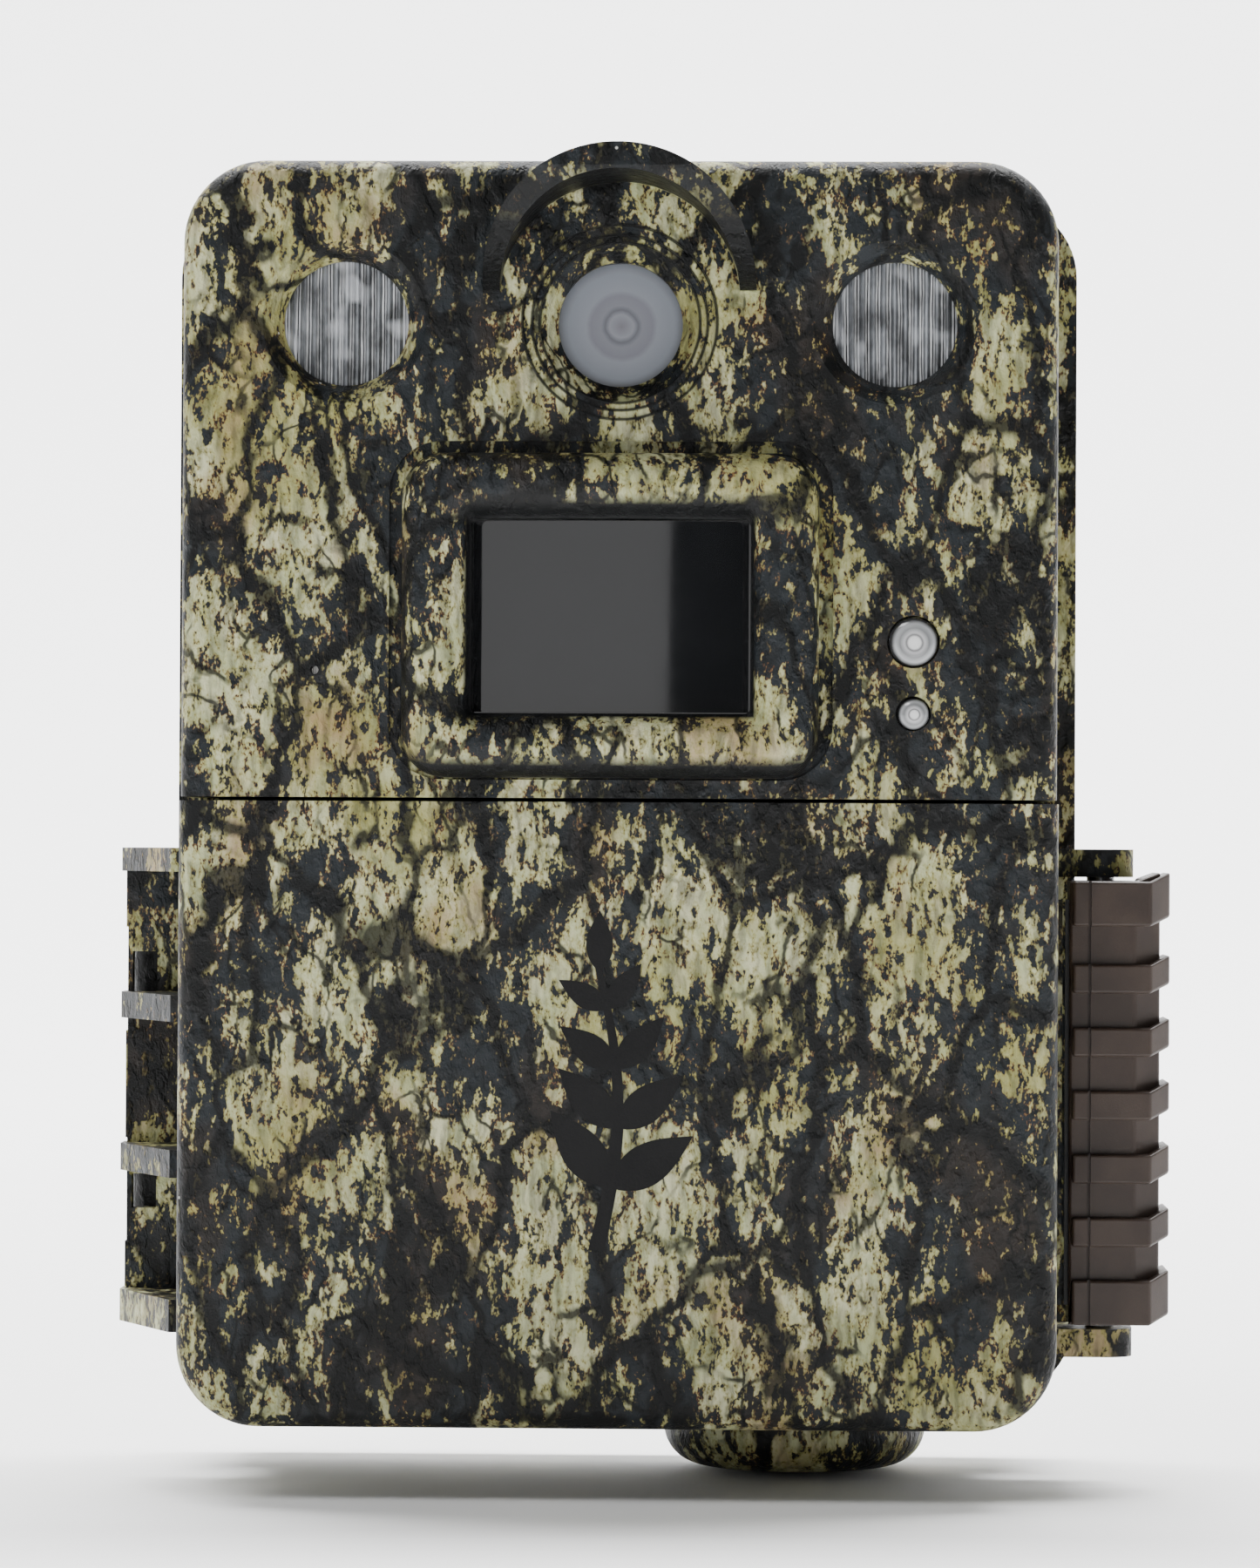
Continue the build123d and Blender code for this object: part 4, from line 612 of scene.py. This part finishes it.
# %% Dress every CAD node
black = (srgb(20, 20, 21), srgb(34, 34, 35))
FINISHES = {
    "camo_shell": bark_print(),
    "latch_rubber": latch_rubber(),
    "latch_core": moulded("latch_core", srgb(16, 16, 17), srgb(28, 28, 29)),
    "pin_steel": metal("pin_steel", srgb(150, 150, 152)),
    "lens_cover": target_glass("lens_cover", "lens_window", LENS_REFLECTION_RINGS, 6.8, 0.25, 0.14),
    "ir_cover": lamp_cover(),
    "pir_black": sensor_black(),
    "clear_dome": target_glass("clear_dome", "status_lens", DOME_HIGHLIGHT_RINGS, 2.8, 0.25, 0.06),
    "gasket_rubber": moulded("gasket_rubber", srgb(18, 18, 18), srgb(30, 30, 30), 0.2, (0.6, 0.75)),
    "black_plastic": moulded("black_plastic", *black),
    "lens_glass": clear_plastic("lens_glass", srgb(170, 180, 215), 0.02, 0.7, 1.0),
    "filter_glass": clear_plastic("filter_glass", srgb(120, 190, 190), 0.03, 0.8, 0.5),
    "circuit_board": circuit_green(),
    "chip_black": moulded("chip_black", srgb(14, 14, 15), srgb(24, 24, 26), 0.15, (0.35, 0.5), 0.008),
    "sensor_silicon": clear_plastic("sensor_silicon", srgb(40, 46, 70), 0.08, 0.0, 0.8, 0.8),
    "reflector": metal("reflector", srgb(226, 228, 232), (0.06, 0.14), (1.0, 1.0, 1.0)),
    "led_clear": clear_plastic("led_clear", srgb(225, 230, 240), 0.06, 0.6, 0.6, 1.0),
    "can_metal": metal("can_metal", srgb(188, 187, 182)),
    "panel_grey": moulded("panel_grey", srgb(58, 59, 61), srgb(70, 71, 73), 0.25, (0.5, 0.65), 0.03),
    "lcd_glass": screen_glass(),
    "key_rubber": moulded("key_rubber", srgb(98, 99, 102), srgb(116, 117, 120), 0.2, (0.5, 0.65), 0.015),
    "switch_plastic": moulded("switch_plastic", srgb(190, 188, 182), srgb(206, 204, 198), 0.3,
                              (0.4, 0.5)),
    "socket_steel": metal("socket_steel", srgb(170, 171, 174)),
    "card_blue": moulded("card_blue", srgb(24, 44, 92), srgb(34, 58, 110), 0.3, (0.35, 0.5), 0.01),
    "cell_wrap": cell_wrap(),
    "contact_nickel": metal("contact_nickel", srgb(186, 182, 172)),
    "flex_amber": clear_plastic("flex_amber", srgb(190, 120, 30), 0.3, 0.2, 0.3, 1.0),
    "insert_brass": metal("insert_brass", srgb(196, 160, 92), (0.2, 0.36)),
}
SMALL_DOME = target_glass("small_dome", "light_sensor_lens", DOME_HIGHLIGHT_RINGS, 1.9, 0.25, 0.06)
for row in frame["record"]["subparts"]:
    cad_node = frame["nodes"][row["node"]]
    chosen_finish = SMALL_DOME if row["node"] == "light_sensor_lens" else FINISHES[row["material_slot"]]
    for place in cad_node.material_slots:
        place.material = chosen_finish

# %% [markdown]
# The ribbed latch grip is the piece a hand touches, and its moulded edges are round. The CAD
# edges are sharp, so this copy of the node gets a narrow bevel on every long outside edge. A
# bevel modifier would shrink to fit the grip's thin groove, so the edges are chosen here one by
# one, after the flat faces have been joined up and split again into simple convex ones.

# %% Soft edges on the latch grip
SHARP = math.radians(25)       # edges that turn less than this are left alone
FLAT = math.radians(2)         # faces that turn less than this count as one flat face
WELD = 0.002 * MM
GRIP_ROUND = 0.3               # radius in mm


def softened(name, node, width, keep_sharp_x):
    """A copy of a CAD node with its long outside edges rounded, except along one thin groove."""
    mesh = frame["nodes"][node].data.copy()
    mesh.name = name
    piece = bpy.data.objects.new(name, mesh)
    bpy.context.scene.collection.objects.link(piece)
    shape = bmesh.new()
    shape.from_mesh(mesh)
    bmesh.ops.remove_doubles(shape, verts=shape.verts, dist=WELD)
    bmesh.ops.dissolve_limit(shape, angle_limit=FLAT, verts=shape.verts, edges=shape.edges)
    bmesh.ops.connect_verts_concave(shape, faces=shape.faces)
    chosen_edges = []
    for edge in shape.edges:
        if len(edge.link_faces) != 2 or edge.calc_face_angle() < SHARP:
            continue
        ends = [abs(corner.co.x / MM - keep_sharp_x) for corner in edge.verts]
        long_enough = edge.calc_length() > 2.2 * width * MM
        if max(ends) > 0.4 and edge.is_convex and long_enough:
            chosen_edges.append(edge)
    bmesh.ops.bevel(shape, geom=chosen_edges, offset=width * MM, segments=3, profile=0.5,
                    affect="EDGES", clamp_overlap=False)
    for face in shape.faces:
        face.smooth = False
    shape.to_mesh(mesh)
    shape.free()
    return piece


BODY_OF = {}
for body_name, body_nodes in frame["record"]["behaviour"]["bodies"].items():
    for body_node in body_nodes:
        BODY_OF[body_node] = body_name

GROOVE_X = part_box("latch_grip")[0][0] / MM + 2.1
grip = softened("latch_grip_soft", "latch_grip", GRIP_ROUND, GROOVE_X)
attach(grip, BODY_OF["latch_grip"])
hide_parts("latch_grip")
print("Latch grip:", len(grip.data.polygons), "faces with its rounded edges")

# %% [markdown]
# The door carries a plain printed plant sprig. It is flat ink, so it is a very thin sheet of
# leaf outlines laid on the door's front, with leaves placed in pairs up one curved stem. A mask
# in the material would do too, but real outlines stay crisp however close one looks.

# %% Printed sprig on the door
SPRIG_TALL = 30.0      # mm
SPRIG_SHIFT = -1.0     # mm to the side of the door's middle line
STEM_BOW = 2.2         # mm by which the stem leaves the straight
STEM_HALF = 0.85       # half the stem's width at its foot, in mm
LEAF_PAIRS = 4
LEAF_LENGTH = 10.2
LEAF_WIDTH = 4.4
LEAF_SPREAD = math.radians(48)
INK = 0.04             # mm that the ink stands proud
face_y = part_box("door")[0][1]
sprig_middle = middle_mm("door")[2] + 1.0


def leaf_outline(length, width, steps=14):
    """A pointed leaf along +X: a sine bulge on each side, fuller near the stem."""
    side = []
    for step in range(1, steps):
        along = step / steps
        side.append((along * length, 0.5 * width * math.sin(math.pi * along ** 0.8)))
    return [(0, 0)] + side + [(length, 0)] + [(x, -y) for x, y in reversed(side)]


def stem_point(share):
    """Where the stem is at a share of its height, as X and Z in mm, and its lean."""
    bow = STEM_BOW * math.sin(math.pi * share)
    lean = math.atan2(STEM_BOW * math.pi * math.cos(math.pi * share), SPRIG_TALL)
    return bow - 1.0, (share - 0.5) * SPRIG_TALL, lean


def turned(outline, x, z, angle):
    """The outline turned by the angle and moved to X and Z."""
    across, up = math.cos(angle), math.sin(angle)
    return [(x + px * across - pz * up, z + px * up + pz * across) for px, pz in outline]


def print_flat(name, outlines, y_front, body, ink, thickness=INK):
    """Closed outlines in X and Z, in metres, as thin slabs that stand proud of y_front."""
    shape = bmesh.new()
    for layer, outline in enumerate(outlines):
        proud = (thickness + 0.003 * layer) * MM      # so that no two layers share a plane
        front = [shape.verts.new((x, y_front - proud, z)) for x, z in outline]
        back = [shape.verts.new((x, y_front + 0.02 * MM, z)) for x, z in outline]
        shape.faces.new(front)
        shape.faces.new(list(reversed(back)))
        for turn in range(len(outline)):
            after = (turn + 1) % len(outline)
            shape.faces.new((front[after], front[turn], back[turn], back[after]))
    bmesh.ops.recalc_face_normals(shape, faces=shape.faces)
    mesh = bpy.data.meshes.new(name)
    shape.to_mesh(mesh)
    shape.free()
    mesh.materials.append(ink)
    piece = bpy.data.objects.new(name, mesh)
    bpy.context.scene.collection.objects.link(piece)
    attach(piece, body)
    return piece


stem_left, stem_right = [], []
STEM_STEPS = 24
for step in range(STEM_STEPS + 1):
    share = step / STEM_STEPS
    x, z, lean = stem_point(share)
    half = STEM_HALF - 0.5 * share
    stem_left.append((x - half, z))
    stem_right.append((x + half, z))
sprig_outlines = [stem_left + list(reversed(stem_right))]
for pair in range(LEAF_PAIRS):
    x, z, lean = stem_point(0.22 + 0.62 * pair / (LEAF_PAIRS - 1))
    size = 1.0 - 0.42 * pair / (LEAF_PAIRS - 1)
    leaf = leaf_outline(LEAF_LENGTH * size, LEAF_WIDTH * size)
    for side in (-1, 1):
        sprig_outlines.append(turned(leaf, x, z, math.pi / 2 - lean - side * LEAF_SPREAD))
tip_x, tip_z, lean = stem_point(0.97)
sprig_outlines.append(turned(leaf_outline(6.4, 2.8), tip_x, tip_z, math.pi / 2))
sprig_places = []
for outline in sprig_outlines:
    sprig_places.append([((x + SPRIG_SHIFT) * MM, (sprig_middle + z) * MM) for x, z in outline])
ink_black = moulded("ink_black", srgb(5, 5, 6), srgb(12, 12, 13), grain=0.25, rough=(0.45, 0.6),
                    specular=0.2)
sprig = print_flat("door_sprig", sprig_places, face_y, BODY_OF["door"], ink_black)
print("Sprig:", len(sprig_outlines), "outlines")

# %% [markdown]
# The keys behind the door are marked with plain shapes: a triangle on each direction key, a
# dot on the centre key and three bars on the menu key. They are printed like the sprig, and
# each mark rides on its own key, so that it goes in when the key is pressed.

# %% Marks on the keys
MARK_THICK = 0.03      # mm
ARROW_R = 1.1          # the other sizes are in mm too
DOT_R = 0.8
BAR_HALF = 1.0
BAR_THIN = 0.16
BAR_STEP = 0.65
mark_ink = moulded("mark_ink", srgb(214, 214, 210), srgb(228, 228, 224), 0.3, (0.5, 0.6), 0.01)


def polygon(middle, radius, corners, start):
    """An even polygon about a middle in X and Z, with its first corner at the start angle."""
    spread = [start + turn * 2 * math.pi / corners for turn in range(corners)]
    return [(middle[0] + radius * MM * math.cos(angle), middle[1] + radius * MM * math.sin(angle))
            for angle in spread]


def key_mark(node, draw):
    """Prints on a key the outlines that draw gives for the key's middle."""
    low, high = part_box(node)
    outlines = draw(((low[0] + high[0]) / 2, (low[2] + high[2]) / 2))
    mark = print_flat(node + "_mark", outlines, low[1], BODY_OF[node], mark_ink, MARK_THICK)


def arrow(degrees):
    return lambda middle: [polygon(middle, ARROW_R, 3, math.radians(degrees))]


def dot(middle):
    return [polygon(middle, DOT_R, 32, 0.0)]


def three_bars(middle):
    bars = []
    for row in (-1, 0, 1):
        bar_z = middle[1] + row * BAR_STEP * MM
        left, right = middle[0] - BAR_HALF * MM, middle[0] + BAR_HALF * MM
        low, high = bar_z - BAR_THIN * MM, bar_z + BAR_THIN * MM
        bars.append([(left, low), (right, low), (right, high), (left, high)])
    return bars


KEY_MARKS = {"up_button": arrow(90), "down_button": arrow(-90), "left_button": arrow(180),
             "right_button": arrow(0), "enter_button": dot, "mode_button": three_bars}
for key, draw in KEY_MARKS.items():
    key_mark(key, draw)
print("Marks placed on", len(KEY_MARKS), "keys")

# %% [markdown]
# The stage is a white sweep: a floor that curves up behind the camera into a wall, so there is
# no horizon. It is one bent sheet. Seamless paper is matt, so its finish has hardly any gloss.

# %% Stage
FLOOR_Z = cad_box[0][2]
SWEEP_HALF = 3.0       # metres, like the other sizes of the sweep
SWEEP_FRONT = -3.0
SWEEP_BEND = 0.8
SWEEP_R = 0.6
SWEEP_TOP = 3.0
BEND_STEPS = 12
sweep_line = [(SWEEP_FRONT, 0.0), (SWEEP_BEND, 0.0)]
for step in range(1, BEND_STEPS + 1):
    turn = step / BEND_STEPS * math.pi / 2
    sweep_line.append((SWEEP_BEND + SWEEP_R * math.sin(turn), SWEEP_R * (1 - math.cos(turn))))
sweep_line.append((SWEEP_BEND + SWEEP_R, SWEEP_TOP))
shape = bmesh.new()
rows = []
for x in (-SWEEP_HALF, SWEEP_HALF):
    rows.append([shape.verts.new((x, y, FLOOR_Z + z)) for y, z in sweep_line])
for turn in range(len(sweep_line) - 1):
    shape.faces.new((rows[0][turn], rows[1][turn], rows[1][turn + 1], rows[0][turn + 1]))
mesh = bpy.data.meshes.new("sweep")
shape.to_mesh(mesh)
shape.free()
for face in mesh.polygons:
    face.use_smooth = True
sweep = bpy.data.objects.new("sweep", mesh)
bpy.context.scene.collection.objects.link(sweep)
paper = Finish("white_paper")
paper_tone = paper.noise(paper.place, 60.0, 3.0)
paper_white = paper.mix(paper_tone, (0.93, 0.93, 0.93), (0.96, 0.96, 0.96))
sweep.data.materials.append(paper.set(Base_Color=paper_white, Roughness=0.9, Specular_IOR_Level=0.1))
print("Sweep stands on", round(FLOOR_Z / MM, 1), "mm")

# %% [markdown]
# Four panels light it. The key stands high on the left, the mirror panel stands in front where
# the sensor window reflects it, the side panel lifts the latch side, and the wall panel turns
# the sweep behind the camera white without spilling on the front. Panels make soft shadows.
# The near ones need only a few watts, and the wall panel far more, since its wall is large.


# %% Lights
def panel(name, place, aim, width, height, power):
    """A flat soft light. Places and sizes are in metres, power in watts."""
    lamp = bpy.data.lights.new(name, "AREA")
    lamp.shape = "RECTANGLE"
    lamp.size = width
    lamp.size_y = height
    lamp.energy = power
    light = bpy.data.objects.new(name, lamp)
    light.location = place
    light.rotation_euler = (Vector(aim) - Vector(place)).to_track_quat("-Z", "Y").to_euler()
    bpy.context.scene.collection.objects.link(light)


AIM = (0.0, -0.03, 0.0)
WALL_AIM = (0.0, 1.4, 0.1)
AIR_LIGHT = 0.10
panel("key_panel", (-0.50, -0.58, 0.95), AIM, 0.6, 0.4, 7.4)
panel("mirror_panel", (-0.20, -1.10, 0.02), AIM, 0.62, 0.9, 1.5)
panel("side_panel", (0.95, -0.35, 0.35), AIM, 0.4, 0.8, 0.6)
panel("wall_panel", (0.0, 0.45, 1.9), WALL_AIM, 2.6, 0.5, 190.0)

world = bpy.data.worlds.new("studio_air")
world.use_nodes = True
air = world.node_tree.nodes["Background"]
air.inputs["Color"].default_value = (0.94, 0.97, 1.0, 1)
air.inputs["Strength"].default_value = AIR_LIGHT
bpy.context.scene.world = world

# %% [markdown]
# The viewpoint is nearly square on, a little to the right of the lens and below the middle of
# the case, from about 54 cm. A long lens from there keeps the case's sides almost out of sight,
# as they are when a small product is shown from the front.

# %% Viewpoint
VIEW_DISTANCE = 540.0          # mm, like the places below
VIEW_X, VIEW_Z = 14.6, -16.8
AIM_X, AIM_Z = 1.3, -10.5
VISOR_REACH = 12.0
LENS_LENGTH = 118.8
ROLL = math.radians(0.28)
plane_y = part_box("front_housing")[0][1] + VISOR_REACH * MM
eye = Vector((VIEW_X * MM, plane_y - VIEW_DISTANCE * MM, VIEW_Z * MM))
target = Vector((AIM_X * MM, plane_y, AIM_Z * MM))
viewer = bpy.data.cameras.new("viewpoint")
viewer.sensor_width = 36.0
viewer.lens = LENS_LENGTH
viewer.clip_start = 0.01
viewpoint = bpy.data.objects.new("viewpoint", viewer)
look = (target - eye).to_track_quat("-Z", "Y").to_matrix().to_4x4()
viewpoint.matrix_world = Matrix.Translation(eye) @ look @ Matrix.Rotation(ROLL, 4, "Z")
bpy.context.scene.collection.objects.link(viewpoint)
bpy.context.scene.camera = viewpoint
print("Viewpoint at", [round(value / MM, 1) for value in eye])
